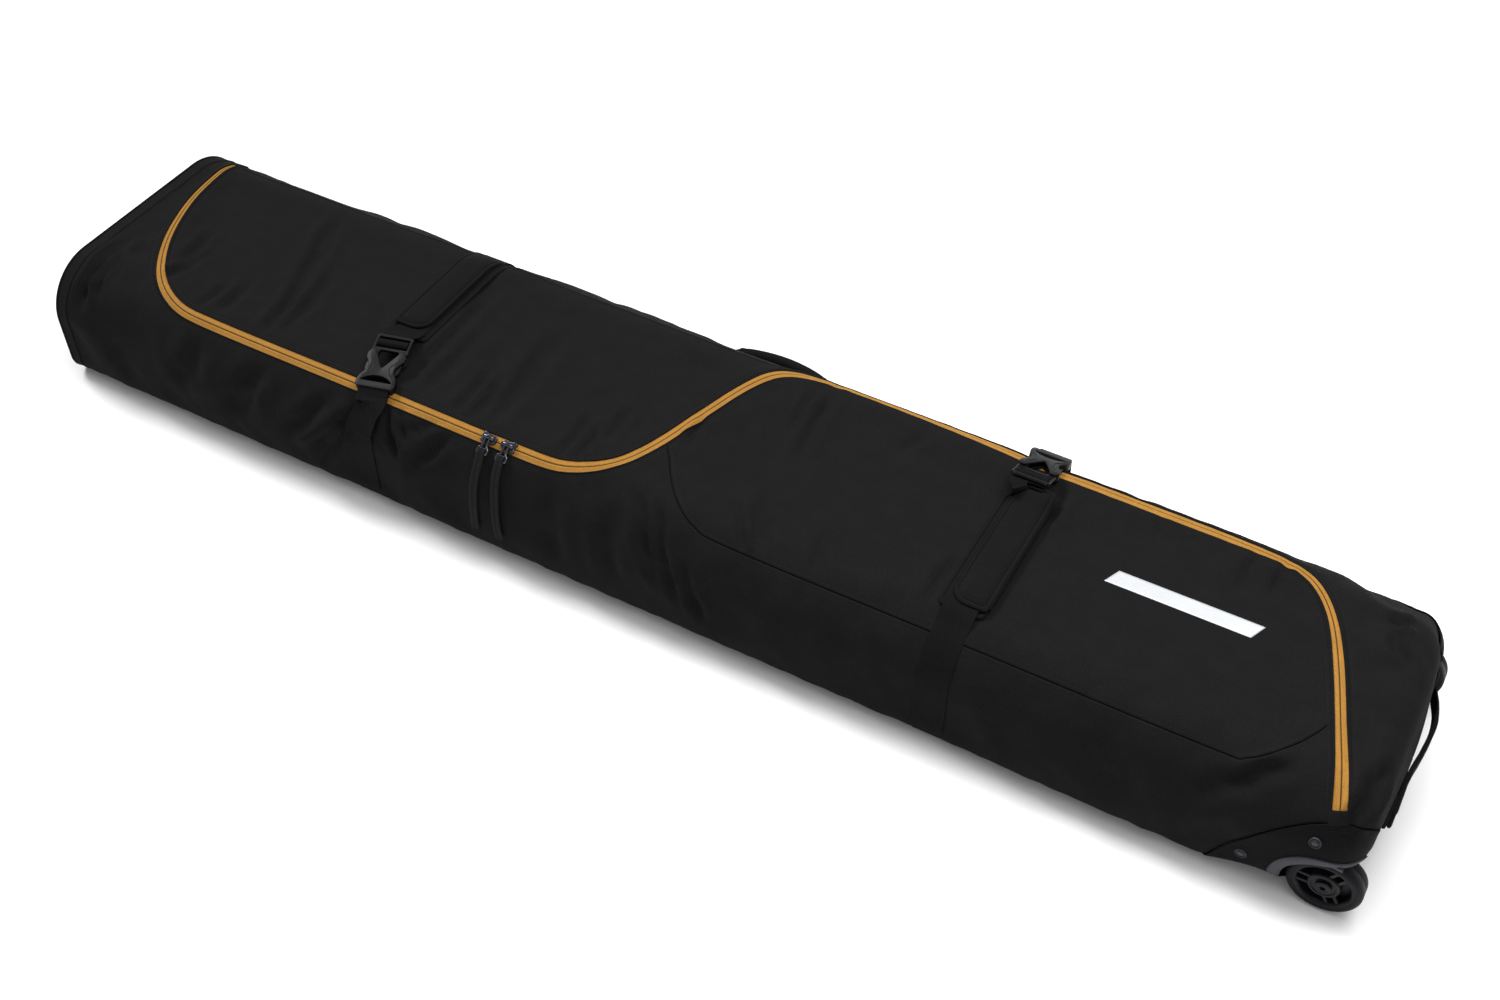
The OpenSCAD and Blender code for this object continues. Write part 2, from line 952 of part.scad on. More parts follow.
module side_handle_webbing() {
    color("#141416")
        at_side_handle() {
            translate([0, side_handle_out, 0])
                rotate([0, 90, 0])
                    cylinder(h = side_grip_l + 12, r = 4.5, center = true);
            for (side = [-1, 1])
                translate([side * (side_grip_l / 2 + 2), 0, 0])
                    multmatrix([[1, -side * side_splay, 0, side * 12], [0, 1, 0, 0],
                                [0, 0, 1, 0], [0, 0, 0, 1]])
                        translate([-3, 5, -4])
                            cube([6, side_handle_out - 3, 8]);
        }
}

// Flat webbing handle on an end of the bag; side is -1 head, 1 wheels, x is its hinge line
module end_handle(side, x) {
    outline = [[4, 86], [9, 78], [13, 60], [15.5, 30], [15.5, -30], [13, -60], [9, -78], [4, -86],
               [1, -84], [5.5, -74], [9, -58], [11.5, -30], [11.5, 30], [9, 58], [5.5, 74], [1, 84]];
    color("#141416")
        translate([x, 0, end_handle_z])
            scale([side, 1, 1])
                intersection() {
                    translate([0, 0, -12.5])
                        linear_extrude(25) polygon(outline);
                    union() {
                        translate([-1, -62, -20])
                            cube([40, 124, 40]);
                        translate([0, -100, -3])
                            cube([40, 200, 6]);
                    }
                }
}

module wheel_end_handle() {
    end_handle(1, tail_x + 3);
}

module head_end_handle() {
    end_handle(-1, -head_x - 3);
}

// Sewn patches under the ends of the three handles
module handle_anchors() {
    patch_t = 1.8;
    end_patch_w = 24;
    color("#131315")
        for (side = [-1, 1]) {
            translate([side_handle_x + side * side_patch_x - web_w / 2 + 3, half_w,
                       side_handle_z - patch_h / 2])
                cube([web_w - 6, patch_t, patch_h]);
            for (x = [tail_x, -head_x - patch_t])
                translate([x, side * end_patch_y - end_patch_w / 2, end_handle_z - patch_h / 2])
                    cube([patch_t, end_patch_w, patch_h]);
        }
}

base_panel();
base_board();
foam_base();
foam_near();
foam_far();
tub_fabric();
head_flap();
wheel_flap();
head_end_panel();
wheel_end_panel();
head_piping();
zip_tape_outer();
zip_tape_inner();
zip_coil();
zip_end_tabs();
corner_guard_near();
corner_guard_far();
wheel_housing_near();
wheel_housing_far();
housing_rivets();
axle_bolt_near();
axle_bolt_far();
wheel_core_near();
wheel_core_far();
tyre_near();
tyre_far();
bearings_near();
bearings_far();
strap_front_upper();
strap_front_lower();
strap_rear_upper();
strap_rear_lower();
wrap_front_base();
wrap_rear_base();
wrap_front_flap();
wrap_rear_flap();
buckle_male_front();
buckle_male_rear();
buckle_female_front();
buckle_female_rear();
prong_front_left();
prong_front_right();
prong_rear_left();
prong_rear_right();
zip_slider_a();
zip_slider_b();
pull_link_a();
pull_link_b();
pull_tab_a();
pull_tab_b();
inner_strap_head();
inner_strap_wheel();
side_handle_grip();
side_handle_webbing();
wheel_end_handle();
head_end_handle();
handle_anchors();
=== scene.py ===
"""Looks of the wheeled board bag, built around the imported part.

Sizes are in millimetres and turn into metres where a mesh is made. The bag's fabric is drawn on an
unrolled sheet: v runs along the bag towards the wheels, s runs around it from the middle of the top
and is negative on the near side. place() rolls the sheet up into the bag.
"""

import math

import bmesh
import bpy
import numpy as np
from mathutils import Matrix, Vector
from mathutils.geometry import delaunay_2d_cdt
from mathutils.kdtree import KDTree


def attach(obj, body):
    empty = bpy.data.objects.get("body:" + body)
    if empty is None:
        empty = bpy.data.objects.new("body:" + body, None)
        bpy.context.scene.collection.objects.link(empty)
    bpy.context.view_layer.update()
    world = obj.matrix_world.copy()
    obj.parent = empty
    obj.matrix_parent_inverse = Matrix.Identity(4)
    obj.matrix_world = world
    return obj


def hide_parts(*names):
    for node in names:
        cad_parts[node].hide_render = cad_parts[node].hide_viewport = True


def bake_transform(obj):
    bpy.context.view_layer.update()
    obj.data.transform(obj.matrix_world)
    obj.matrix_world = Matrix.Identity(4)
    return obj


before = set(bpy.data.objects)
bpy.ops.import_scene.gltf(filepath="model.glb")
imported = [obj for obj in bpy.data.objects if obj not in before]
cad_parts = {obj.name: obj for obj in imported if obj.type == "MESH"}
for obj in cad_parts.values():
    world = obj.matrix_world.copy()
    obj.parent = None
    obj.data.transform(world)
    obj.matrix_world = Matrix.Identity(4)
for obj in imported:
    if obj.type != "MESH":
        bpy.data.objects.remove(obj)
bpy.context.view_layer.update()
MM = 0.001
rng = np.random.default_rng(7)

# ---- The bag's shape

HALF_W, TOP_Z = 172.0, 157.0
TOP_R, FOOT_R = 70.0, 28.0  # radii of the long edges
HEAD_X, TAIL_X = -840.0, 838.0
CORNER_R = 42.0  # plan radius of the wheel end's corners
HEAD_R = 6.0  # radius of the head end's edge
EDGE = HALF_W - TOP_R  # s where the flat top ends
WALL = EDGE + TOP_R * math.pi / 2  # s where the wall starts
FOOT = WALL + TOP_Z - TOP_R - FOOT_R  # s where the wall ends
BASE = FOOT + FOOT_R * math.pi / 2  # s where the flat base starts
RIM = BASE + HALF_W - FOOT_R  # s at the middle of the base
TURN = TAIL_X - CORNER_R  # v where the wheel end starts to round
FACE = TURN + CORNER_R * math.pi / 2  # v where its flat face starts
MIDDLE = FACE + 100  # v at the middle of that face
HEAD_TURN = HEAD_X + HEAD_R
HEAD_RIM = HEAD_TURN - HEAD_R * math.pi / 2
FACE_BULGE = 7.0  # how far the wheel end's face swells

ZIP_STOPS = [  # the zip's route in plan, from the far corner of the head end to the wheels
    (-796, 138), (-794, 90), (-786, 35), (-758, -38), (-716, -97), (-668, -127), (-610, -133),
    (-360, -133), (-130, -133), (-84, -127), (-46, -106), (-20, -58), (3, 18), (24, 84),
    (50, 121), (96, 138), (180, 141), (270, 137), (400, 127), (540, 124), (650, 122),
    (692, 108), (722, 70), (746, 12), (770, -62), (792, -130), (800, -150),
]
SEAM_STOPS = [  # the seam of the top panel over the wheel half
    (-14, -44), (4, -64), (22, -90), (46, -117), (78, -136), (130, -142), (400, -142),
    (660, -142), (704, -138), (738, -108), (764, -62),
]
GUARD_STOPS = [  # the corner guard's seam on the side of the bag, as v and height
    (690, 4), (703, 36), (720, 63), (742, 93), (770, 117), (800, 130), (832, 134), (862, 134),
]
HINGE_Y = 133.0  # the head flap's far seam
ZIP_HALF = 9.0
HEM = 20.0  # width of the hem at the head end
FRONT_X, FRONT_SIDE_X, REAR_X = -376.0, -359.0, 384.0  # the straps, the front one's lower half apart
WEB_W, WEB_T = 38.0, 1.6
AXLE_X, WHEEL_R, WHEEL_Y, WHEEL_W = 811.0, 38.5, 166.0, 24.0
ARCH_R, ARCH_TOP = 45.8, 84.0  # the opening around a wheel
WELL_Y = 135.0  # inner wall of a wheel's well


def linked(name, data):
    """A new object of some data, in the scene."""
    obj = bpy.data.objects.new(name, data)
    bpy.context.scene.collection.objects.link(obj)
    return obj


def spin(degrees, axis):
    return Matrix.Rotation(math.radians(degrees), 4, axis)


def circle(n):
    """Angles of n even steps around."""
    return np.linspace(0, 2 * math.pi, n, endpoint=False)


def unit(a):
    """Vectors scaled to length 1."""
    return a / np.maximum(np.linalg.norm(a, axis=-1, keepdims=True), 1e-9)


def section(s):
    """y, z and the outward normal of the bag's cross-section at s."""
    side, t = np.where(s < 0, -1.0, 1.0), np.abs(s)
    a = np.clip((t - EDGE) / TOP_R, 0, math.pi / 2)
    b = np.clip((t - FOOT) / FOOT_R, 0, math.pi / 2)
    y = np.minimum(t, EDGE) + TOP_R * np.sin(a) - FOOT_R * (1 - np.cos(b))
    y = y - np.maximum(t - BASE, 0)
    z = TOP_Z - TOP_R * (1 - np.cos(a)) - np.clip(t - WALL, 0, FOOT - WALL) - FOOT_R * np.sin(b)
    upper = t < WALL
    return side * y, z, side * np.where(upper, np.sin(a), np.cos(b)), np.where(
        upper, np.cos(a), -np.sin(b))


def roll(v, s):
    """Points and normals of the smooth bag at (v, s)."""
    v, s = np.broadcast_arrays(np.asarray(v, float), np.asarray(s, float))
    y, z, ny, nz = section(s)
    r = np.interp(np.abs(s), [0, EDGE, WALL, FOOT, BASE, RIM], [26, 30, CORNER_R, CORNER_R, 12, 12])
    path = CORNER_R - r + r * math.pi / 2
    along = np.clip((v - TURN) / (FACE - TURN), 0, 1) * path
    turn = np.clip((along - (CORNER_R - r)) / r, 0, math.pi / 2)
    head = np.clip((HEAD_TURN - v) / HEAD_R, 0, math.pi / 2)
    x = np.where(v > TURN, TURN + np.minimum(along, CORNER_R - r) + r * np.sin(turn), v)
    x = np.where(v < HEAD_TURN, HEAD_TURN - HEAD_R * np.sin(head), x)
    inset = r * (1 - np.cos(turn)) + HEAD_R * (1 - np.cos(head))
    y, z = y - inset * ny, z - inset * nz
    inner = np.clip((v - FACE) / (MIDDLE - FACE), 0, 1)
    y, z = y * (1 - inner), z + (TOP_Z / 2 - z) * inner
    x = x + FACE_BULGE * (1 - (1 - inner) ** 2)
    flat = np.cos(turn + head)
    n = np.stack([np.sin(turn) - np.sin(head), ny * flat, nz * flat], -1)
    return np.stack([x, y, z], -1), unit(n)


def s_of_y(y):
    """s of a point on the top, from its y."""
    t = abs(y)
    return math.copysign(t if t < EDGE else EDGE + TOP_R * math.asin((t - EDGE) / TOP_R), y)


def s_of_z(z, side):
    """s of a point on the side, from its height."""
    if z > TOP_Z - TOP_R:
        t = EDGE + TOP_R * math.acos((z - TOP_Z + TOP_R) / TOP_R)
    elif z > FOOT_R:
        t = WALL + TOP_Z - TOP_R - z
    else:
        t = FOOT + FOOT_R * math.asin((FOOT_R - z) / FOOT_R)
    return side * t


def smooth(stops, step, closed=False):
    """A Catmull-Rom curve through stops, resampled to even steps."""
    p = np.array(stops, float)
    if closed:
        ends = np.vstack([p[-1:], p, p[:2]])
    else:
        ends = np.vstack([2 * p[0] - p[1], p, 2 * p[-1] - p[-2]])
    out = []
    for a, b, c, d in zip(ends, ends[1:], ends[2:], ends[3:]):
        for t in np.linspace(0, 1, 24, endpoint=False):
            out.append(0.5 * (2 * b + (c - a) * t + (2 * a - 5 * b + 4 * c - d) * t * t
                              + (3 * b - a - 3 * c + d) * t ** 3))
    out.append(p[0] if closed else p[-1])
    return resample(np.array(out), step)


def eased(line, reach):
    """The line with its corners rounded over reach points each way; its ends stay."""
    w = np.exp(-(np.arange(-reach, reach + 1) * 2 / reach) ** 2)
    long = np.vstack([2 * line[0] - line[reach:0:-1], line, 2 * line[-1] - line[-2:-reach - 2:-1]])
    return np.stack([np.convolve(long[:, k], w / w.sum(), "valid") for k in (0, 1)], -1)


def resample(line, step):
    """The line in even steps."""
    d = np.concatenate([[0], np.cumsum(np.linalg.norm(np.diff(line, axis=0), axis=1))])
    at = np.linspace(0, d[-1], max(2, int(round(d[-1] / step)) + 1))
    return np.stack([np.interp(at, d, line[:, k]) for k in range(line.shape[1])], -1)


def left_of(line):
    """Unit vectors to the left along a line on the sheet."""
    d = unit(np.gradient(line, axis=0))
    return np.stack([-d[:, 1], d[:, 0]], -1)


def offset(line, distance):
    return line + left_of(line) * distance


def ring(line, r):
    """A closed line at a distance all round another."""
    left = left_of(line)
    angles = np.linspace(0, -math.pi, 8)[1:-1]
    end, start = [[line[k] + r * (Matrix.Rotation(a, 2) @ Vector(side)) for a in angles]
                  for k, side in ((-1, left[-1]), (0, -left[0]))]
    return np.vstack([line + left * r, end, (line - left * r)[::-1], start])


def distance_to(line, points):
    """Each point's distance to the nearest point of a line."""
    tree = KDTree(len(line))
    for i, p in enumerate(line):
        tree.insert((p[0], p[1], 0), i)
    tree.balance()
    return np.array([tree.find((p[0], p[1], 0))[2] for p in points])


def inside(points, outline):
    """Which points lie in a closed outline."""
    x, y = points[:, 0], points[:, 1]
    hit = np.zeros(len(points), bool)
    for (x0, y0), (x1, y1) in zip(outline, np.roll(outline, -1, axis=0)):
        crosses = (y0 > y) != (y1 > y)
        hit ^= crosses & (x < (x1 - x0) * (y - y0) / ((y1 - y0) or 1e-12) + x0)
    return hit


def ramp(x, low, high):
    """A soft step from 0 at low to 1 at high."""
    t = np.clip((x - low) / (high - low), 0, 1)
    return t * t * (3 - 2 * t)


zip_line = eased(smooth([(x, s_of_y(y)) for x, y in ZIP_STOPS], 2.0), 20)
seam_line = smooth([(x, s_of_y(y)) for x, y in SEAM_STOPS], 3.0)
guard_lines = [smooth([(v, s_of_z(z, side)) for v, z in GUARD_STOPS], 3.0) for side in (-1, 1)]


def arch_outline(side):
    """The opening around a wheel: up its front, along the top, down the end face."""
    angles = np.radians(np.linspace(237, 90, 26))
    front = [(AXLE_X + ARCH_R * math.cos(a),
              s_of_z(max(min(WHEEL_R + ARCH_R * math.sin(a), ARCH_TOP), 0), side)) for a in angles]
    end_v = TURN + CORNER_R * math.acos(1 - (HALF_W - WELL_Y) / CORNER_R)
    low = side * (BASE + HALF_W - FOOT_R - WELL_Y)
    top = [(v, front[-1][1]) for v in np.linspace(AXLE_X + 5, end_v - 8, 10)]
    bend = [(end_v - 8 + 8 * math.sin(a), front[-1][1] + side * 8 * (1 - math.cos(a)))
            for a in np.radians([25, 50, 75, 90])]
    down = [(end_v, s) for s in side * np.linspace(WALL + 15, FOOT, 10)]
    face = [(FACE + 7, side * (FOOT + 4)), (FACE + 7, low)]
    return front, top + bend + down, face + [(front[0][0], low)]


arches = [np.array(sum(arch_outline(side), [])) for side in (-1, 1)]

# ---- Relief of the fabric: what the load, the straps and the seams do to it

GRID = 14.0
grid_v = np.arange(HEAD_RIM, FACE + GRID, GRID)
grid_s = np.arange(-BASE - GRID, BASE + 2 * GRID, GRID)
relief_grid = np.zeros((len(grid_v), len(grid_s)))
STRAPS = ((FRONT_X, -40, 320), (FRONT_SIDE_X, -320, -150), (REAR_X, -320, 320))


def swell():
    """Lets the fabric between the seams and the straps fill out as cloth; returns how far it moves."""
    v, s = np.meshgrid(grid_v, grid_s, indexing="ij")
    points, normals = roll(v, s)
    flat = np.stack([v.ravel(), s.ravel()], -1)
    held = [1.2 - (distance_to(zip_line, flat) - 8) / 22, 1.1 - (distance_to(seam_line, flat) - 3) / 20,
            (HEAD_X + HEM + 8 - flat[:, 0]) / 10, (flat[:, 0] - TURN - 20) / 20,
            (np.abs(flat[:, 1]) - FOOT) / 30]
    for x, low, high in STRAPS:
        held.append((1.4 - np.abs(flat[:, 0] - x) / 34) * ((flat[:, 1] > low) & (flat[:, 1] < high)))
    for line, arch in zip(guard_lines, arches):
        held.append(inside(flat, np.vstack([line, arch])) * 1.0)
    pin = np.clip(np.max(held, axis=0), 0, 1)
    nv, ns = v.shape
    index = np.arange(nv * ns).reshape(nv, ns)
    faces = np.stack([index[:-1, :-1], index[1:, :-1], index[1:, 1:], index[:-1, 1:]], -1)
    mesh = bpy.data.meshes.new("swell")
    jitter = 0.4 * rng.standard_normal(len(flat))[:, None] * (1 - pin)[:, None]
    mesh.from_pydata((points.reshape(-1, 3) + jitter * normals.reshape(-1, 3)) * MM, [],
                     faces.reshape(-1, 4).tolist())
    cloth = linked("swell", mesh)
    group = cloth.vertex_groups.new(name="pin")
    for i, w in enumerate(pin):
        group.add([i], float(w), "REPLACE")
    settings = cloth.modifiers.new("cloth", "CLOTH").settings
    settings.quality = 6
    settings.mass = 0.15
    settings.tension_stiffness = settings.compression_stiffness = 18
    settings.shear_stiffness = 8
    settings.bending_stiffness = 0.6
    settings.shrink_min = -0.035
    settings.use_pressure = True
    settings.uniform_pressure_force = 1.1
    settings.vertex_group_mass = "pin"
    settings.pin_stiffness = 4
    settings.effector_weights.gravity = 0.35
    scene = bpy.context.scene
    for f in range(1, 31):
        scene.frame_set(f)
    done = cloth.evaluated_get(bpy.context.evaluated_depsgraph_get()).to_mesh()
    co = np.array([p.co for p in done.vertices]) / MM
    scene.frame_set(1)
    bpy.data.objects.remove(cloth)
    return np.einsum("ijk,ijk->ij", co.reshape(nv, ns, 3) - points, normals)


def spline_weights(t):
    return ((1 - t) ** 3 / 6, (3 * t ** 3 - 6 * t ** 2 + 4) / 6,
            (-3 * t ** 3 + 3 * t ** 2 + 3 * t + 1) / 6, t ** 3 / 6)


def sample(grid, v, s):
    """A smooth reading of a grid over the sheet."""
    a = np.clip((v - grid_v[0]) / GRID, 1, len(grid_v) - 3.001)
    b = np.clip((s - grid_s[0]) / GRID, 1, len(grid_s) - 3.001)
    i, j = a.astype(int), b.astype(int)
    out = 0.0
    for p, wp in enumerate(spline_weights(a - i)):
        for q, wq in enumerate(spline_weights(b - j)):
            out = out + wp * wq * grid[i + p - 1, j + q - 1]
    return out


# Soft creases that the load and the seams leave: v, s of both ends, width, height before CREASE_DEPTH
CREASES = [
    (-711, -64, -720, 4, 7, -1.8), (-706, -98, -697, -36, 7, -2.0), (-634, -120, -634, -70, 6, -1.8),
    (-606, -110, -611, -50, 7, -1.8), (-535, -112, -552, -22, 7, -3.2), (-551, -30, -596, 98, 9, -2.6),
    (-517, -100, -527, 0, 9, -1.8), (-330, -98, -335, 70, 8, -2.4), (-250, -120, -256, -38, 6, -2.2),
    (-223, -128, -236, -46, 7, -2.0), (-203, -118, -219, 58, 12, -2.2), (-105, -118, -111, -45, 6, -2.0),
    (-84, -115, -91, -60, 5, -1.8), (-73, -80, -77, -16, 6, -1.4), (-300, -110, -306, 10, 10, -1.4),
    (-566, -240, -508, -160, 13, -2.6), (-474, -236, -406, -160, 10, -2.6), (-440, -250, -364, -164, 8, -3.0),
    (-427, -262, -378, -184, 6, -3.0), (-334, -144, -304, -196, 5, -2.8), (-319, -138, -296, -178, 6, -2.2),
    (-290, -212, -236, -146, 8, -2.6), (-302, -166, -254, -136, 6, -1.6), (-640, -230, -600, -160, 14, -1.8),
    (-801, -176, -802, -60, 6, -3.4), (-781, -152, -795, -64, 5, -3.0), (-792, -172, -800, -136, 4, -2.6),
    (-764, -130, -790, -90, 8, -2.0), (26, -126, 82, -232, 7, -3.2), (4, -128, 58, -218, 8, -2.8),
    (80, -184, 108, -246, 7, -2.4), (6, 9, 14, -36, 6, -1.3), (113, 138, 127, 14, 7, -2.4),
    (96, 116, 102, 44, 6, -1.8), (124, -72, 158, -138, 6, -2.0), (144, -80, 166, -134, 5, -1.6),
    (118, -104, 140, -138, 5, -1.6), (208, -72, 224, -132, 6, -1.2), (230, 78, 241, 124, 7, -1.6),
    (350, -40, 347, -116, 7, -2.0), (408, 110, 409, 48, 9, -3.4), (628, 118, 625, 54, 6, -1.8),
    (642, 114, 636, 52, 5, -1.6), (661, 130, 657, 72, 6, -1.8), (517, 120, 529, 82, 6, -1.2),
    (748, -126, 694, -170, 8, -2.4), (730, -150, 660, -196, 12, -1.6), (774, 98, 800, 104, 6, -3.6),
    (777, 92, 808, 38, 9, -2.0), (812, -166, 820, -98, 7, -3.2), (826, -152, 830, -80, 7, -2.6),
    (560, -150, 600, -240, 22, -1.2), (-100, -150, -84, -250, 16, -1.6), (-20, -150, -8, -240, 14, -1.8),
]
CREASE_DEPTH = 3.3
CREASE_CALM = 0.9  # share of a crease that the taut fabric beside the zip takes away
STRAP_SINK, CORNER_SINK, FOOT_SINK, TUCK = 1.8, 12.0, 8.0, 15.0
CROWN = 3.4  # how much the load lifts the far edge
GRIP_X, GRIP_Z, GRIP_OUT, GRIP_L = 10.0, 88.0, 26.0, 122.0  # the side handle's grip
GRIP_BOW = 0.0031  # curvature of its line
GRIP_S = s_of_z(GRIP_Z - 26, 1)


def hump(x, middle, width):
    """A soft hill of height 1."""
    return np.exp(-((x - middle) / width) ** 2)


def relief(v, s):
    """How far the fabric stands off the smooth bag at (v, s)."""
    v, s = np.broadcast_arrays(np.asarray(v, float), np.asarray(s, float))
    d = sample(relief_grid, v, s)
    taut = (ramp(v, 20, 80) * (1 - ramp(v, 700, 745)) * hump(s, 124, 21)
            + ramp(v, -720, -660) * (1 - ramp(v, -120, -80)) * hump(s, -134, 21))
    for v0, s0, v1, s1, width, height in CREASES:
        run, rise = v1 - v0, s1 - s0
        length = math.hypot(run, rise)
        t = ((v - v0) * run + (s - s0) * rise) / length ** 2
        across = ((v - v0) * rise - (s - s0) * run) / length + 0.18 * width * np.sin(3 * math.pi * t)
        side = hump(across, 0, width) - 0.45 * hump(np.abs(across), 1.7 * width, width)
        fade = ramp(t, -0.15, 0.3) * (1 - ramp(t, 0.7, 1.15))
        d = d + CREASE_DEPTH * height * fade * side * (1 - CREASE_CALM * taut)
    for x, low, high in STRAPS:
        span = ramp(s, low - 10, low + 20) * (1 - ramp(s, high - 20, high + 10))
        d = d - STRAP_SINK * span * hump(v, x, 30)
    corner = ramp(v, 690, 810) * hump(s, 138, 42)
    crown = ramp(v, -800, -690) * (1 - ramp(v, 560, 730)) * hump(s, 138, 34) * (1 - 0.9 * hump(v, FRONT_X, 42))
    foot = ramp(v, 790, 856) * ramp(np.abs(s), 200, 262)
    deepest = np.where(np.abs(s) > WALL - 20, -2.6, -6.5)
    d = np.maximum(d, deepest) - CORNER_SINK * corner + CROWN * crown - FOOT_SINK * foot
    tuck = ramp(v, 680, 764) * hump(np.abs(s), FOOT + 24, 26)
    at_grip = np.exp(-((v - GRIP_X) / 90) ** 4 - ((s - GRIP_S) / 48) ** 4)
    return (d - TUCK * tuck) * (1 - 0.9 * at_grip) - 1.4 * at_grip


def place(v, s, lift=0.0):
    """Points on the bag's fabric, lift above it, and their normals."""
    p, n = roll(v, s)
    return p + n * (relief(v, s) + lift)[..., None], n


# ---- Materials

def linear(hex_colour):
    """A hex colour in linear light, with alpha."""
    parts = [int(hex_colour[i:i + 2], 16) / 255 for i in (1, 3, 5)]
    return [c / 12.92 if c <= 0.04045 else ((c + 0.055) / 1.055) ** 2.4 for c in parts] + [1.0]


def node(mat, kind, **inputs):
    """A new shader node, with values for its inputs."""
    made = mat.node_tree.nodes.new("ShaderNode" + kind)
    for socket, value in inputs.items():
        made.inputs[socket].default_value = value
    return made


def link(mat, output, socket):
    mat.node_tree.links.new(output, socket)


def noise(mat, coords, scale, detail=2.0):
    """A noise texture's value."""
    made = node(mat, "TexNoise", Scale=scale, Detail=detail)
    link(mat, coords, made.inputs["Vector"])
    return made.outputs["Fac"]


def colour_ramp(mat, value, low, high, colours):
    """Turns a value into a colour, from one at low to another at high."""
    made = node(mat, "ValToRGB")
    for element, position, colour in zip(made.color_ramp.elements, (low, high), colours):
        element.position, element.color = position, colour
    link(mat, value, made.inputs["Fac"])
    return made.outputs["Color"]


def shaded(name, colour, rough, spread=0.0, metallic=0.0, **sockets):
    """A material whose colour drifts softly; returns it with its shader, coordinates and colour."""
    mat = bpy.data.materials.new(name)
    mat.use_nodes = True
    shader = mat.node_tree.nodes["Principled BSDF"]
    for socket, value in {"Roughness": rough, "Metallic": metallic, **sockets}.items():
        shader.inputs[socket.replace("_", " ")].default_value = value
    coords = node(mat, "TexCoord").outputs["Object"]
    colours = [[c * gain for c in linear(colour)[:3]] + [1] for gain in (1 - spread, 1 + spread)]
    return mat, shader, coords, colour_ramp(mat, noise(mat, coords, 38, 5), 0.3, 0.7, colours)


def bumped(mat, shader, heights, distance, strength):
    """Adds bump from several height outputs, each with its share of the distance."""
    target = shader.inputs["Normal"]
    for height, share in heights[::-1]:
        bump = node(mat, "Bump", Distance=distance * share, Strength=strength)
        link(mat, height, bump.inputs["Height"])
        link(mat, bump.outputs["Normal"], target)
        target = bump.inputs["Normal"]


def mixed(mat, shader, how, share, one, two):
    """Gives the shader two colours, mixed."""
    mix = node(mat, "Mix")
    mix.data_type, mix.blend_type = "RGBA", how
    mix.inputs[0].default_value = share
    link(mat, one, mix.inputs[6])
    link(mat, two, mix.inputs[7])
    link(mat, mix.outputs[2], shader.inputs["Base Color"])


BLACK, WHITE = (0, 0, 0, 1), (1, 1, 1, 1)


def woven(name, colour, rough, pitch, spread=0.07, diagonal=False, depth=0.12, **sockets):
    """Cloth with crossing sets of threads, pitch apart, in millimetres."""
    mat, shader, coords, tint = shaded(name, colour, rough, spread, **sockets)
    turn = node(mat, "Mapping", Rotation=(0.3, 0.3, math.radians(45 if diagonal else 0)))
    link(mat, coords, turn.inputs["Vector"])
    heights = []
    for axis in ("X", "Y", "Z"):
        wave = node(mat, "TexWave", Scale=1 / (pitch * MM) / 3.2, Distortion=0.25)
        wave.bands_direction = axis
        link(mat, turn.outputs["Vector"], wave.inputs["Vector"])
        heights.append((wave.outputs["Fac"], 1.0))
    grain = noise(mat, coords, 900, 3)
    bumped(mat, shader, heights + [(grain, 2.0)], depth * MM, 0.6)
    speck = colour_ramp(mat, grain, 0.32, 0.62, [(0.45, 0.45, 0.45, 1), WHITE])
    mixed(mat, shader, "MULTIPLY", 0.55, tint, speck)
    return mat


def moulded(name, colour, rough, grain=1400, depth=0.05, spread=0.08, edge_wear_and_highlight=0.004, **sockets):
    """Plastic, rubber or metal with a fine surface and sharp edges painted lighter: a little as rubbed wear,
    and, with the larger shares, as a painted highlight.
    """
    mat, shader, coords, tint = shaded(name, colour, rough, spread, **sockets)
    bumped(mat, shader, [(noise(mat, coords, grain), 1.0)], depth * MM, 0.5)
    edges = node(mat, "NewGeometry").outputs["Pointiness"]
    # Painted highlight and rubbed wear: lighter colour added where the surface is sharply curved.
    mixed(mat, shader, "ADD", edge_wear_and_highlight, tint, colour_ramp(mat, edges, 0.54, 0.68, [BLACK, WHITE]))
    return mat


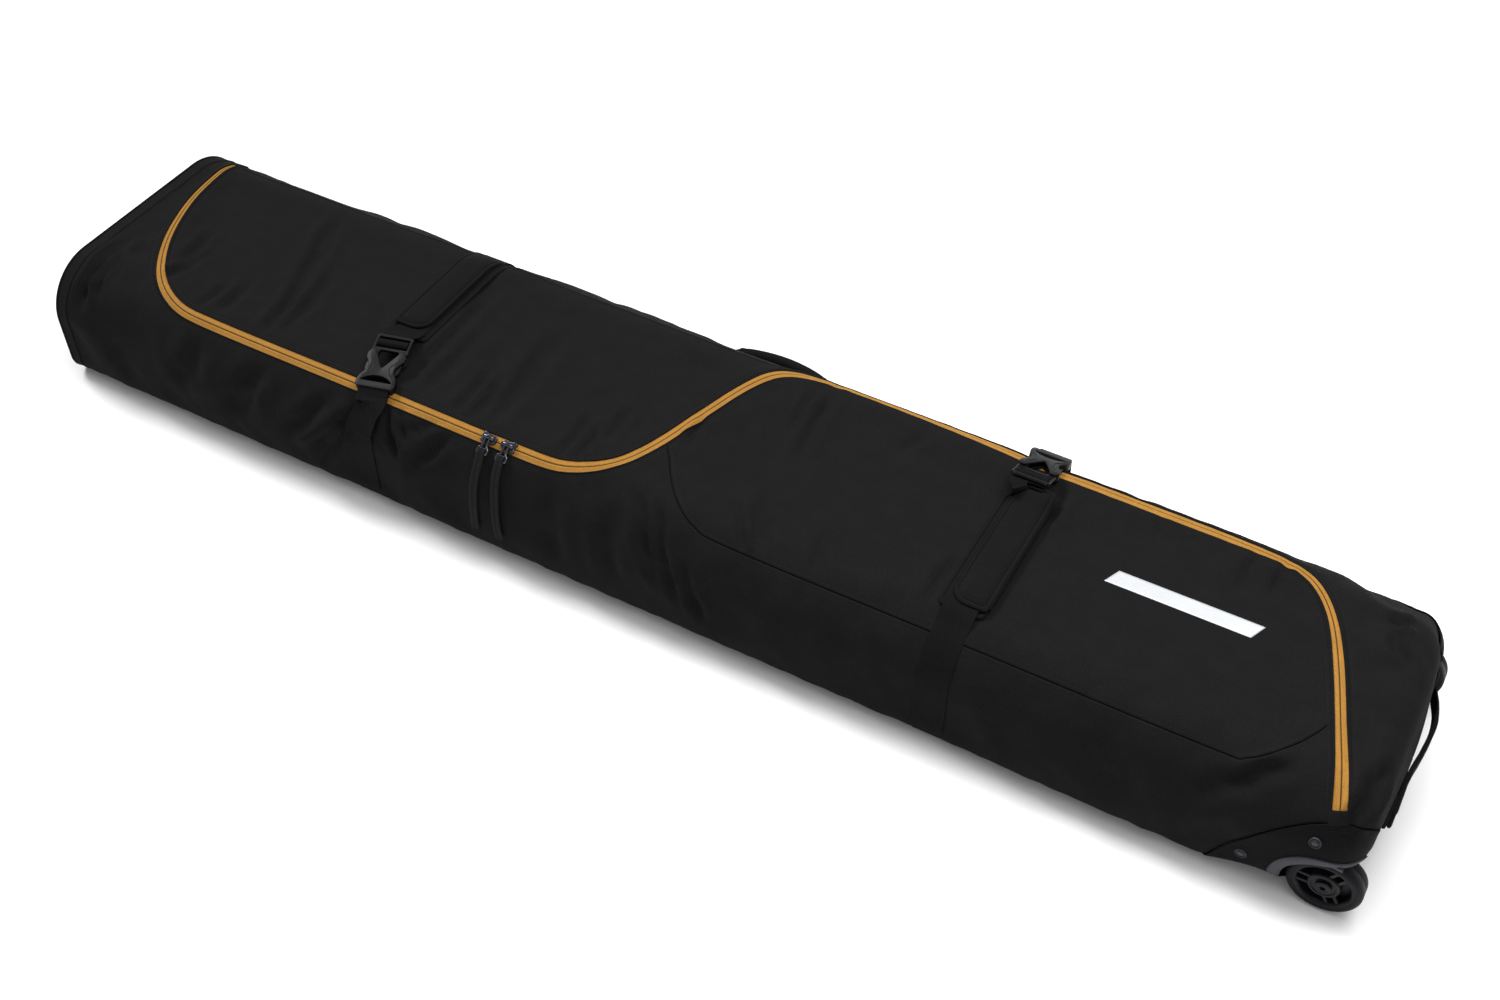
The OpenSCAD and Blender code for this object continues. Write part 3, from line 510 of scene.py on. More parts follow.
MATERIALS = {
    "shell": woven("shell_cloth", "#19191a", 0.85, 0.9, Specular_IOR_Level=0.03, Sheen_Weight=0.01),
    "guard": woven("guard_cloth", "#101012", 0.7, 1.3, depth=0.2, diagonal=True, Specular_IOR_Level=0.05),
    "base": woven("base_cloth", "#121214", 0.7, 1.2, depth=0.18, Specular_IOR_Level=0.06),
    "webbing": woven("webbing", "#121213", 0.75, 1.6, depth=0.25, diagonal=True, Specular_IOR_Level=0.05),
    "pad": woven("pad_cloth", "#151516", 0.85, 0.9, Specular_IOR_Level=0.04, Sheen_Weight=0.01),
    "ribbon": woven("pull_ribbon", "#1f1f20", 0.75, 1.1, depth=0.2, diagonal=True, Specular_IOR_Level=0.06),
    "thread": woven("thread", "#1b1b1d", 0.6, 0.5, Specular_IOR_Level=0.1),
    "tape": woven("zip_tape", "#a37533", 0.75, 0.8, spread=0.07, depth=0.1, Specular_IOR_Level=0.12),
    # The coil's dark brown is partly its own colour and partly painted shade for the gap between the tape
    # halves.
    "coil": moulded("zip_coil", "#3a2309", 0.55, spread=0.1, Specular_IOR_Level=0.2),
    # The buckles, the wheel cores and the slider metal take larger edge shares, which paint highlights on their
    # edges.
    "buckle": moulded("buckle_plastic", "#0d0d0f", 0.4, depth=0.04, edge_wear_and_highlight=0.014, Specular_IOR_Level=0.12),
    "frame": moulded("frame_plastic", "#0d0d0f", 0.4, depth=0.04, edge_wear_and_highlight=0.02, Specular_IOR_Level=0.08),
    "housing": moulded("housing_plastic", "#28272f", 0.5, depth=0.1, Specular_IOR_Level=0.3),
    "wheel": moulded("wheel_plastic", "#0f0f13", 0.36, depth=0.05, edge_wear_and_highlight=0.012, Specular_IOR_Level=0.16),
    "tyre": moulded("tyre_rubber", "#0e0e11", 0.55, grain=700, depth=0.12, Specular_IOR_Level=0.12),
    "metal": moulded("slider_metal", "#42444c", 0.16, metallic=0.9, depth=0.02, edge_wear_and_highlight=0.2),
    "steel": moulded("bolt_steel", "#2c2d32", 0.32, metallic=0.6, depth=0.02),
    "print": moulded("silver_print", "#c4c6c8", 0.35, metallic=0.35, depth=0.05, spread=0.03),
    "foam": woven("foam", "#4a4a4d", 0.9, 2.5),
    "board": moulded("stiffener", "#2c2c2e", 0.6),
}

# ---- Making pieces


def add(name, points, faces, look, body="bag", nodes=(), smooth=40, thick=0.0):
    """A piece from points in millimetres."""
    mesh = bpy.data.meshes.new(name)
    points = np.array(points, float)
    points[:, 2] = np.maximum(points[:, 2], 0)
    mesh.from_pydata((points * MM).tolist(), [], [tuple(f) for f in faces])
    return finish_piece(name, mesh, look, body, nodes, smooth, thick)


def finish_piece(name, mesh, look, body, nodes, smooth=40, thick=0.0):
    """Makes the piece of a mesh; edges sharper than smooth degrees stay sharp, thick gives cloth its back."""
    mesh.materials.clear()
    mesh.materials.append(MATERIALS[look])
    obj = linked(name, mesh)
    bm = bmesh.new()
    bm.from_mesh(mesh)
    bmesh.ops.remove_doubles(bm, verts=bm.verts, dist=0.02 * MM)
    bmesh.ops.recalc_face_normals(bm, faces=bm.faces)
    bm.to_mesh(mesh)
    bm.free()
    if thick:
        solid = obj.modifiers.new("thick", "SOLIDIFY")
        solid.thickness, solid.offset = thick * MM, -1
    mesh.shade_smooth()
    if smooth < 180:
        mesh.set_sharp_from_angle(angle=math.radians(smooth))
    if isinstance(body, str):
        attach(obj, body)
    if nodes:
        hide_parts(*nodes)
    return obj


def strip_faces(rows, cols, wrap_rows=False, wrap_cols=False):
    """Quads of a grid of rows by cols points."""
    out = []
    for i in range(rows if wrap_rows else rows - 1):
        for j in range(cols if wrap_cols else cols - 1):
            a, b = (i + 1) % rows, (j + 1) % cols
            out.append((i * cols + j, i * cols + b, a * cols + b, a * cols + j))
    return out


def sweep(points, normals, profile, closed=False):
    """Points and faces of a profile [(across, up), ...], or one for each point, carried along a route."""
    tangent = unit(np.gradient(points, axis=0))
    if closed:
        tangent = unit(np.roll(points, -1, axis=0) - np.roll(points, 1, axis=0))
    across = unit(np.cross(tangent, normals))
    up = unit(np.cross(across, tangent))
    profile = np.asarray(profile, float)
    if profile.ndim == 2:
        profile = profile[None]
    p = points[:, None] + across[:, None] * profile[..., :1] + up[:, None] * profile[..., 1:]
    n, m = p.shape[:2]
    faces = strip_faces(n, m, wrap_rows=closed, wrap_cols=True)
    if not closed:
        faces += [tuple(range(m))[::-1], tuple(range((n - 1) * m, n * m))]
    return p.reshape(-1, 3), faces


def flat_profile(w, t):
    """Outline of webbing: nearly flat, with rounded edges and a slight rib along each side."""
    h, k = w / 2, t / 2
    lean = 0.35 * k
    return [(-h, 0), (-h + lean, k * 0.8), (-h + 1.6, k), (-h + 3, k * 0.8), (0, k * 0.85),
            (h - 3, k * 0.8), (h - 1.6, k), (h - lean, k * 0.8), (h, 0),
            (h - lean, -k * 0.8), (0, -k), (-h + lean, -k * 0.8)]


def round_profile(r, n=12, flat=1.0):
    return [(r * math.cos(a), r * flat * math.sin(a)) for a in circle(n)]


def route3(stops, step=2.5):
    """A smooth route through (x, y, z, nx, ny, nz) stops: points and normals."""
    line = smooth(stops, step)
    return line[:, :3], unit(line[:, 3:])


def join_meshes(parts):
    """(points, faces) of several parts as one."""
    points, faces, base = [], [], 0
    for p, f in parts:
        points.append(np.asarray(p, float))
        faces += [tuple(i + base for i in face) for face in f]
        base += len(p)
    return np.vstack(points), faces


def stitches(line, lift):
    """Separate stitches along a line on the fabric."""
    line = resample(np.asarray(line, float), 4.2)
    return stitches3(*place(line[:, 0], line[:, 1], lift))


def stitches3(p, n, length=3.0, r=0.32):
    """A stitch at each point, facing its normal or the one normal given."""
    t, n = unit(np.gradient(p, axis=0)), np.broadcast_to(n, p.shape)
    across = unit(np.cross(t, n))
    shape = [(-0.5, 0, -0.6), (-0.32, 1, 0.2), (-0.32, -1, 0.2), (0.32, 1, 0.2), (0.32, -1, 0.2),
             (0.5, 0, -0.6), (0, 0, 1.25)]
    tris = [(0, 1, 6), (0, 6, 2), (1, 3, 6), (2, 6, 4), (3, 5, 6), (4, 6, 5), (0, 2, 1), (1, 2, 4),
            (1, 4, 3), (3, 4, 5)]
    points = np.stack([p + t * a * length + across * b * r + n * c * r for a, b, c in shape], 1)
    return points.reshape(-1, 3), [tuple(7 * i + k for k in tri) for i in range(len(p)) for tri in tris]


def plate(outlines, low, high, bevel=0.6, steps=3):
    """A flat part with rounded edges from closed outlines (holes inside), as (points, faces)."""
    curve = bpy.data.curves.new("plate", "CURVE")
    curve.dimensions, curve.fill_mode = "2D", "BOTH"
    curve.extrude, curve.bevel_depth = (high - low) / 2 - bevel, bevel
    curve.bevel_resolution, curve.offset = steps, -bevel
    for outline in outlines:
        spline = curve.splines.new("POLY")
        spline.points.add(len(outline) - 1)
        for point, (x, y) in zip(spline.points, outline):
            point.co = (x, y, 0, 1)
        spline.use_cyclic_u = True
    obj = linked("plate", curve)
    mesh = bpy.data.meshes.new_from_object(obj.evaluated_get(bpy.context.evaluated_depsgraph_get()))
    points = np.array([p.co for p in mesh.vertices]) + [0, 0, (low + high) / 2]
    faces = [tuple(f.vertices) for f in mesh.polygons]
    bpy.data.objects.remove(obj)
    return points, faces


def lathe(profile, n=48):
    """A turned part from (radius, height) points around Z, closed on itself."""
    points = [(r * math.cos(a), r * math.sin(a), h) for a in circle(n) for r, h in profile]
    return np.array(points), strip_faces(n, len(profile), wrap_rows=True, wrap_cols=True)


def arc2(cx, cy, r, a0, a1, n=6):
    return [(cx + r * math.cos(a), cy + r * math.sin(a)) for a in np.radians(np.linspace(a0, a1, n))]


def rounded(w, h, r, n=5):
    """A rectangle with round corners."""
    w, h = w / 2 - r, h / 2 - r
    return (arc2(w, h, r, 0, 90, n) + arc2(-w, h, r, 90, 180, n) + arc2(-w, -h, r, 180, 270, n)
            + arc2(w, -h, r, 270, 360, n))


def moved(part, matrix):
    """A part's (points, faces) carried by a matrix."""
    m = np.array(matrix)
    points = np.asarray(part[0], float)
    return points @ m[:3, :3].T + m[:3, 3], part[1]


# ---- The fabric shell

SWELL_SHARE, SWELL_RANGE = 0.75, (-2.5, 7)
relief_grid = np.clip(SWELL_SHARE * swell(), *SWELL_RANGE)


def lip(q, shape):
    """Height at a distance q from an edge, from (distance, height) stops."""
    return np.interp(q, *zip(*shape))


ZIP_LIP = [(-0.4, -0.9), (0, 0.9), (0.8, 1.5), (2.2, 1.6), (3.6, 0.6), (5.2, 1.1), (9, 0.3), (16, 0)]
SEAM_LIP = [(0, -1.4), (1, 0.2), (2.4, 0.7), (4.2, 0.15), (6, 0.5), (12, 0)]
GUARD_LIP = [(0, 0.7), (1, 1.5), (2.6, 1.6), (4, 1.0), (6, 1.4), (9, 1.2)]
UNDER_LIP = [(0, -0.8), (3, -0.2), (8, 0)]

PITCH = 6.0  # spacing of the fabric's mesh
hinge_s = s_of_y(HINGE_Y)
hinge_line = np.array([(v, hinge_s) for v in np.arange(-790, 80, 6.0)])
hem_line = np.array([(HEAD_X + HEM, s) for s in np.arange(-BASE, BASE + 1, 6.0)])
clear_of_zip = distance_to(zip_line, seam_line) > 14


def constraint_lines():
    """Lines that the fabric's mesh follows: (points, closed)."""
    coarse = resample(zip_line, 5.0)
    lines = [(ring(coarse, ZIP_HALF + q), True) for q, _ in ZIP_LIP[1:6]]
    lines += [(offset(seam_line, side * q)[clear_of_zip], False)
              for q in (1.0, 2.4, 4.2, 6.0) for side in (-1, 1)]
    lines.append((seam_line, False))
    lines += [(offset(line, q), False) for line in (hinge_line, hem_line)
              for q in (-4.2, -2.4, -1.0, 0.0, 1.0, 2.4, 4.2)]
    for side, guard_line, arch in zip((-1, 1), guard_lines, arches):
        lines += [(offset(guard_line, side * q), False) for q in (-3.0, 0.0, 1.0, 2.6, 4.0, 6.0)]
        lines.append((arch, True))
    for side in (-1, 1):
        lines.append((np.array([(v, side * BASE) for v in np.arange(HEAD_RIM, MIDDLE + 1, 6.0)]), False))
    return lines


def cut_sheet():
    """Triangles of the whole sheet, cut along every seam: sheet points and faces."""
    lines = constraint_lines()
    fixed = np.vstack([line for line, _ in lines])
    vs = np.concatenate([np.linspace(HEAD_RIM, HEAD_TURN, 5), np.arange(HEAD_TURN + PITCH, TURN, PITCH),
                         np.arange(TURN, MIDDLE + 1, PITCH)])
    ss = np.linspace(-RIM, RIM, int(2 * RIM / PITCH) | 1)
    free = np.stack(np.meshgrid(vs, ss, indexing="ij"), -1).reshape(-1, 2)
    edge = (np.abs(free[:, 1]) > RIM - 1) | (free[:, 0] < HEAD_RIM + 0.1) | (free[:, 0] > MIDDLE - PITCH)
    free = free[edge | (distance_to(fixed, free) > 2.6)]
    points, edges = [], []
    for line, closed in lines:
        start, n = len(points), len(line)
        points += [tuple(p) for p in line]
        edges += [(start + i, start + i + 1) for i in range(n - 1)]
        if closed:
            edges.append((start + n - 1, start))
    points += [tuple(p) for p in free]
    verts, _, faces, _, _, _ = delaunay_2d_cdt([Vector(p) for p in points], edges, [], 0, 0.02)
    return np.array([tuple(p) for p in verts]), np.array(faces)


def stop_index(line, stop):
    """Where a line along the zip passes one of the zip's stops."""
    x, y = stop
    return int(np.argmin(np.linalg.norm(line - (x, s_of_y(y)), axis=1)))


sheet, sheet_faces = cut_sheet()
centres = sheet[sheet_faces].mean(1)
head_region = np.vstack([
    zip_line[:np.argmax((zip_line[:, 0] > 40) & (zip_line[:, 1] > hinge_s))],
    [(96, hinge_s), (-796, hinge_s)]])
first, last = [stop_index(zip_line, ZIP_STOPS[k]) for k in (11, 24)]  # where the wheel flap's seam meets it
wheel_region = np.vstack([zip_line[first:last], seam_line[::-1]])
guard_regions = [np.vstack([line, [(FACE, s) for s in side * np.linspace(180, BASE, 8)], [(690, side * BASE)]])
                 for line, side in zip(guard_lines, (-1, 1))]
hole = distance_to(zip_line, centres) < ZIP_HALF
for arch in arches:
    hole |= inside(centres, arch)
under = np.abs(centres[:, 1]) > BASE
guard = inside(centres, guard_regions[0]) | inside(centres, guard_regions[1])
on_head = inside(centres, head_region)
on_wheel = inside(centres, wheel_region)


def fabric(name, chosen, look, nodes, lifts, thick=1.5):
    """One sewn piece of the sheet; lifts(sheet points) is the height of its edges."""
    faces = sheet_faces[chosen & ~hole]
    used, index = np.unique(faces, return_inverse=True)
    flat = sheet[used]
    points, _ = place(flat[:, 0], flat[:, 1], lifts(flat))
    return add(name, points, index.reshape(-1, 3).tolist(), look, nodes=nodes, smooth=180, thick=thick)


def to_guard(flat):
    """Distance to the nearer corner guard's seam."""
    return np.minimum(*[distance_to(resample(line, 1.0), flat) for line in guard_lines])


def hems(flat):
    """Height of the hems along the zip, the seams and the head end."""
    from_zip = distance_to(zip_line, flat)
    d = lip(from_zip - ZIP_HALF, ZIP_LIP) + lip(to_guard(flat), UNDER_LIP)
    for line in (seam_line, hinge_line):
        d = d + lip(distance_to(resample(line, 1.0), flat), SEAM_LIP) * ramp(from_zip, 9.5, 16)
    d = d + lip(np.abs(flat[:, 0] - (HEAD_X + HEM)), SEAM_LIP)
    return d + 0.8 * (flat[:, 0] < HEAD_X + HEM)


tub = fabric("tub_shell", ~(under | guard | on_head | on_wheel), "shell", ["tub_fabric", "wheel_end_panel"],
             hems)
head_flap = fabric("head_flap_shell", on_head & ~guard, "shell", ["head_flap"], hems)
wheel_flap = fabric("wheel_flap_shell", on_wheel & ~guard, "shell", ["wheel_flap"], hems)
for name, half in (("near", centres[:, 1] < 0), ("far", centres[:, 1] >= 0)):
    fabric("guard_" + name, guard & ~under & half, "guard", ["corner_guard_" + name],
           lambda flat: lip(to_guard(flat), GUARD_LIP))
fabric("base_shell", under, "base", ["base_panel"], lambda flat: 0.0)

# Head end: its panel and the bound seam around it
around = np.linspace(-RIM, RIM, 240, endpoint=False)
rim_points, _ = roll(np.full(len(around), HEAD_RIM), around)
rings = []
for inner in np.linspace(0, 1, 14):
    p = rim_points * (1 - inner) + np.array([HEAD_X, 0, TOP_Z / 2]) * inner
    p[:, 0] -= 3.5 * (1 - (1 - inner) ** 2) - 1.5 * math.exp(-(inner / 0.08) ** 2)
    rings.append(p)
add("head_end_cloth", np.vstack(rings), strip_faces(len(rings), len(around), wrap_cols=True), "shell",
    nodes=["head_end_panel"], smooth=180, thick=1.5)
pipe, pipe_n = roll(np.full(len(around), HEAD_TURN - 3.5), around)
add("head_binding", *sweep(pipe + pipe_n * 0.6, pipe_n, round_profile(2.3, 10), closed=True), "webbing",
    nodes=["head_piping"], smooth=180)

# ---- Zip

# Half width of the tape that the fabric leaves open, at each stop
ZIP_OPEN = (3.8, 3.8, 4.2, 4.8, 5.6, 6.6, 7.2, 7.4, 7.4, 7.0, 6.8, 6.6, 6.4, 6.2, 6.2, 6.6, 7.2, 7.2, 7.2, 7.2,
            6.4, 5.0, 4.8, 5.6, 5.6, 6.6, 7.4)
fine_zip = resample(zip_line, 1.0)
zip_left = left_of(fine_zip)
rib = np.where(np.arange(len(fine_zip)) % 2 == 0, 1.0, -1.0)
zip_open = np.interp(np.arange(len(fine_zip)), [stop_index(fine_zip, stop) for stop in ZIP_STOPS], ZIP_OPEN)
fold_height = np.interp(fine_zip[:, 0], [0, 70, 590, 720], [1, 0.3, 0.3, 1])


def zip_strip(name, stops, look, nodes, ribs=0.0, opening=0.0):
    """A strip along the zip from (offset, lift, rib share) stops; opening is the side that starts at the
    open edge."""
    points = []
    for off, lift, share in stops:
        reach = off + opening * zip_open * np.clip((10.6 - abs(off)) / 10, 0, 1) if opening else off
        line = fine_zip + zip_left * np.reshape(reach, (-1, 1))
        height = lift * fold_height if opening else lift
        points.append(place(line[:, 0], line[:, 1], height + rib * ribs * share)[0])
    grid = np.stack(points, 1).reshape(-1, 3)
    add(name, grid, strip_faces(len(fine_zip), len(stops)), look, nodes=nodes, smooth=180, thick=0.7)


TAPE = [(0.5, -0.4, 0), (0.62, 0.6, 1), (1.6, 0.9, 1), (2.9, 0.75, 0.6), (3.7, 0.4, 0.1),
        (6, 0.4, 0), (8.4, 0.45, 0), (10.5, -0.3, 0)]
zip_strip("zip_tape_inner_cloth", TAPE, "tape", ["zip_tape_inner"], ribs=0.2)
zip_strip("zip_tape_outer_cloth", [(-a, b, c) for a, b, c in TAPE], "tape", ["zip_tape_outer"], ribs=0.2)
FOLD = ((0, -0.2), (0.05, 1.6), (0.5, 2.2), (1.2, 2.4), (2.2, 2.0), (10.6, 1.2))
for side, name in ((1, "inner"), (-1, "outer")):
    zip_strip("zip_%s_fold" % name, [(side * a, b, 0) for a, b in FOLD], "shell", [], opening=side)
zip_strip("zip_coil_teeth", [(-1, -0.5, 0), (-0.5, 0.1, 1), (0, 0.25, 1), (0.5, 0.1, 1), (1, -0.5, 0)],
          "coil", ["zip_coil"], ribs=0.3)

# ---- Stitching

sewn = [stitches(ring(zip_line, ZIP_HALF + 3.6), 0.75), stitches(offset(seam_line[clear_of_zip], 4.2), 0.3),
        stitches(offset(hem_line, 4.2), 0.4), stitches(offset(hinge_line, 4.2), 0.3)]
for side, line in zip((-1, 1), guard_lines):
    for q in (4.0, 7.0):
        sewn.append(stitches(offset(line, side * q)[2:-2], 1.2))
add("shell_stitching", *join_meshes(sewn), "thread", smooth=60)

# ---- Straps, wraps and buckles

def frame_of(centre, turn, tilt):
    return Matrix.Translation(centre) @ spin(turn, "Z") @ spin(tilt, "Y")


FRONT = frame_of((-363.4, -98.4, 166.4), -75, 12)
REAR = frame_of((377, 116, 164), 90, 22)


def local(matrix, stops):
    """(x, z, nx, nz) stops of a buckle's long section as route stops."""
    out = []
    for x, z, nx, nz in stops:
        p = matrix @ Vector((x, 0, z))
        n = matrix.to_3x3() @ Vector((nx, 0, nz))
        out.append((*p, *n))
    return out


def spot(v, s, lift):
    """One point above the fabric and its normal."""
    p, n = place(np.array([float(v)]), np.array([float(s)]), lift)
    return p[0], n[0]


def fabric_stops(x, levels):
    """Route stops over the fabric at x, from (s, lift) levels."""
    return [(*p, *n) for p, n in (spot(x, s, lift) for s, lift in levels)]


LADDER = [(-44, -3.6, 0, 1), (-37, -3.4, 0, 1), (-33, -2.2, 0.5, 1), (-29.5, 2.2, 0, 1),
          (-26.5, 3.1, 0, 1), (-23.5, 2.2, 0, 1), (-21.5, -1.0, 1, 0.6), (-24, -4.4, 0, -1),
          (-32, -5.4, 0, -1), (-44, -5.8, 0, -1)]
LOOP = [(62, -5.5, 0, 1), (50, -2.0, 0, 1), (42, 1.6, 0, 1), (37, 3.2, 0, 1), (33.5, 3.0, 0, 1),
        (31.2, 0.2, -1, 0), (33.5, -3.2, 0, -1), (38, -3.6, 0, -1), (46, -4.2, 0, -1), (58, -7.5, 0, -1)]
WRAP_Z = 161.6  # height of the webbing inside a wrap


def taper(s):
    """The wraps and the webbing in them get thinner where they bend over the far edge."""
    return 1 - 0.5 * ramp(np.abs(s), 98, 145)


def webbing(name, stops, nodes, body="bag", w=WEB_W):
    points, normals = route3(stops)
    return add(name, *sweep(points, normals, flat_profile(w, WEB_T)), "webbing", body, nodes, smooth=50)


def strap(name, x, side, frame_matrix, wrap, upper, lower_x, lower):
    """Both webbings of a strap; side is where the upper one starts, wrap the s and y where it enters and
    leaves."""
    s_in, y_out = wrap
    far_levels = [(side * s, 1.1) for s in (292, 270, 250, 230, 210, 190, 170, 150, 130) if s > s_in + 15]
    under_flap = []
    for s in np.arange(s_in, 96, -14):
        p, n = roll(x, side * s)
        under_flap.append((*(p + n * (WRAP_Z - TOP_Z) * taper(s)), *n))
    over = [(x, y, WRAP_Z, 0, 0, 1) for y in np.linspace(side * 90, y_out, 6)]
    stops = fabric_stops(x, far_levels) + under_flap + over + upper + local(frame_matrix, LADDER)
    webbing("strap_%s_upper_web" % name, stops, ["strap_%s_upper" % name])
    stops = fabric_stops(lower_x, [(-side * s, lift) for s, lift in lower]) + local(frame_matrix, LOOP)
    web = webbing("strap_%s_lower_web" % name, stops, ["strap_%s_lower" % name], body=None)
    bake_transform(web)


strap("front", FRONT_X, 1, FRONT, (150, -30), [(-375.5, -40, 162.6, 0, 0, 1)], FRONT_SIDE_X,
      [(292, 1.1), (270, 1.1), (250, 1.1), (230, 1.2), (212, 1.4), (196, 1.8), (182, 2.4)])
strap("rear", REAR_X, -1, REAR, (112, 58), [(382.5, 63, 162.6, 0, 0, 1), (382, 69, 165.6, 0, -0.5, 1)],
      REAR_X - 6, [(292, 1.1), (270, 1.1), (250, 1.1), (230, 1.1), (214, 1.2), (200, 1.3)])


def cushion(name, outline, spine, place_at, shape, look, body, nodes, under, rings=9):
    """A sewn pad from a closed outline that shrinks onto a spine (two ends). place_at(a, b, lift) gives points;
    shape(q) is the height of its top at a distance q from the edge; under is the height of its underside."""
    outline = np.array(outline, float)
    a, b = np.array(spine, float)
    t = np.clip(((outline - a) @ (b - a)) / ((b - a) @ (b - a)), 0, 1)
    inward = a + t[:, None] * (b - a) - outline
    half = np.linalg.norm(inward, axis=1).min()
    steps = np.concatenate([[0, 0.4, 1.0, 1.8, 2.8, 3.8, 4.6, 5.4, 7.0], np.linspace(9, half, rings)])
    layers = []
    for q, lift in [(half, under), (half * 0.5, under), (0.4, under)] + [
            (q, shape(q)) for q in steps[steps <= half + 1e-6]]:
        flat = outline + inward * min(q / half, 1)
        layers.append(place_at(flat[:, 0], flat[:, 1], lift))
    faces = strip_faces(len(layers), len(outline), wrap_cols=True)
    obj = add(name, np.vstack(layers), faces, look, body, nodes, smooth=180)


def pad_outline(x0, x1, s0, s1, radii, step=4.0):
    """A rectangle on the sheet whose corners (x0,s0) (x1,s0) (x1,s1) (x0,s1) have their own radii."""
    out = []
    for (x, s), r, a, (dx, ds) in zip(((x0, s0), (x1, s0), (x1, s1), (x0, s1)), radii, (180, 270, 0, 90),
                                      ((1, 1), (-1, 1), (-1, -1), (1, -1))):
        out += arc2(x + dx * r, s + ds * r, r, a, a + 90, max(4, int(r / 1.5)))
    line = np.array(out + out[:1])
    return resample(line, step if len(line) < 60 else 3.0)[:-1]


def rolled(v, s, lift):
    """Points above the smooth bag."""
    p, n = roll(v, s)
    return p + n * np.asarray(lift)[..., None]


def sewn_edge(top, puff, groove=4.6):
    """Heights of a pad's top: round edge, stitched groove, then the filling."""
    stops = [(0, top - 2.0), (0.4, top - 1.0), (1.0, top - 0.35), (1.8, top), (2.8, top + 0.1),
             (3.8, top - 0.7), (groove, top - 1.7), (5.4, top - 0.8), (7, top + 0.1), (12, top + puff * 0.8),
             (20, top + puff), (40, top + puff)]
    return lambda q: lip(q, stops)


def wrap(name, x, free, base_span, flap_span, body, rise=0.0):
    """The padded wrap of a strap: free is the side of its free edge, +1 or -1 along x; rise lifts the flap's
    far end."""
    half = 27.0
    x0, x1 = x - half, x + half

    def under_web(v, s, lift):
        return rolled(v, s, lift * taper(s))

    def over_web(v, s, lift):
        return rolled(v, s, lift * taper(s) + rise * ramp(s, 50, 78))

    cushion("wrap_%s_base_pad" % name, pad_outline(x0, x1, *base_span, (7, 7, 7, 7)),
            ((x, base_span[0] + half), (x, base_span[1] - half)), under_web,
            sewn_edge(3.9, 0.0), "pad", "bag", ["wrap_%s_base" % name], under=-1.6)
    f0, f1, edge = (x0 - 0.6, x0 + 44, x0) if free > 0 else (x1 - 44, x1 + 0.6, x1)
    centre = (f0 + f1) / 2
    spine = ((centre, flap_span[0] + 22), (centre, flap_span[1] - 22))
    outline = pad_outline(f0, f1, *flap_span, (4, 21, 8, 4) if free > 0 else (19, 4, 4, 19))
    cushion("wrap_%s_flap_pad" % name, outline, spine, over_web, sewn_edge(9.0, 1.7), "pad", body,
            ["wrap_%s_flap" % name], under=5.9)
    closed = np.vstack([outline, outline[:1]])
    inward = -closed
    inward[:, 0] += centre
    inward[:, 1] += np.clip(closed[:, 1], spine[0][1], spine[1][1])
    seam = closed + inward * (4.6 / np.maximum(np.linalg.norm(inward, axis=1, keepdims=True), 1))
    seam = resample(seam, 4.2)
    add("wrap_%s_stitches" % name, *stitches3(over_web(seam[:, 0], seam[:, 1], 7.6),
                                              roll(seam[:, 0], seam[:, 1])[1]), "thread", body, smooth=60)
    s_line = np.arange(flap_span[0] + 6, flap_span[1] - 5, 4.0)
    rows = [over_web(edge - free * (2.4 * math.cos(a) - 0.6), s_line, 5.2 + 2.8 * math.sin(a))
            for a in np.radians(np.linspace(-90, 90, 9))]
    fold = add("wrap_%s_fold" % name, np.vstack(rows), strip_faces(9, len(s_line)), "pad", None, smooth=180,
               thick=0.9)
    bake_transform(fold)


wrap("front", FRONT_X, 1, (-43, 146), (-31, 141), "wrap_flap_front")
wrap("rear", REAR_X, -1, (-113, 70), (-106, 81), "wrap_flap_rear", rise=7.0)

# Side release buckles, drawn flat: x is the release direction, y across, z up

UP = (0, 0, 1)


def mirrored(half):
    """A closed outline from its +y half, front to rear."""
    return half + [(x, -y) for x, y in half[::-1]]


def curve(stops, step=1.2):
    return [tuple(p) for p in smooth(stops, step)]


def slot(x0, x1, w):
    return [(x0, -w), (x1, -w), (x1, w), (x0, w)]


def rod(stops, r, flat=1.0, n=12, up=UP):
    """A round bar along a route."""
    return sweep(np.array(stops, float), up, round_profile(r, n, flat))


def male_half():
    rim = mirrored(arc2(-33.5, 17.5, 4.5, 180, 90)
                   + curve([(-28, 22), (-18, 21.6), (-12, 20.8), (-8, 18.4), (-6.4, 16)])
                   + [(-9.6, 13), (-14.4, 11)])
    ladder = plate([rim, slot(-33.8, -28.4, 19.4), slot(-24.6, -18.6, 19.4)], -2.2, 2.2, 0.9)
    bars = [rod([(x, y, 0) for y in np.linspace(-20, 20, 9)], r, 0.9) for x, r in ((-36.3, 2.3), (-26.5, 2.0))]
    sides = [rod([(x, side * 21, 0.2) for x in np.linspace(-36, -13, 9)], 2.1, 1.1) for side in (-1, 1)]
    return join_meshes([ladder] + bars + sides)


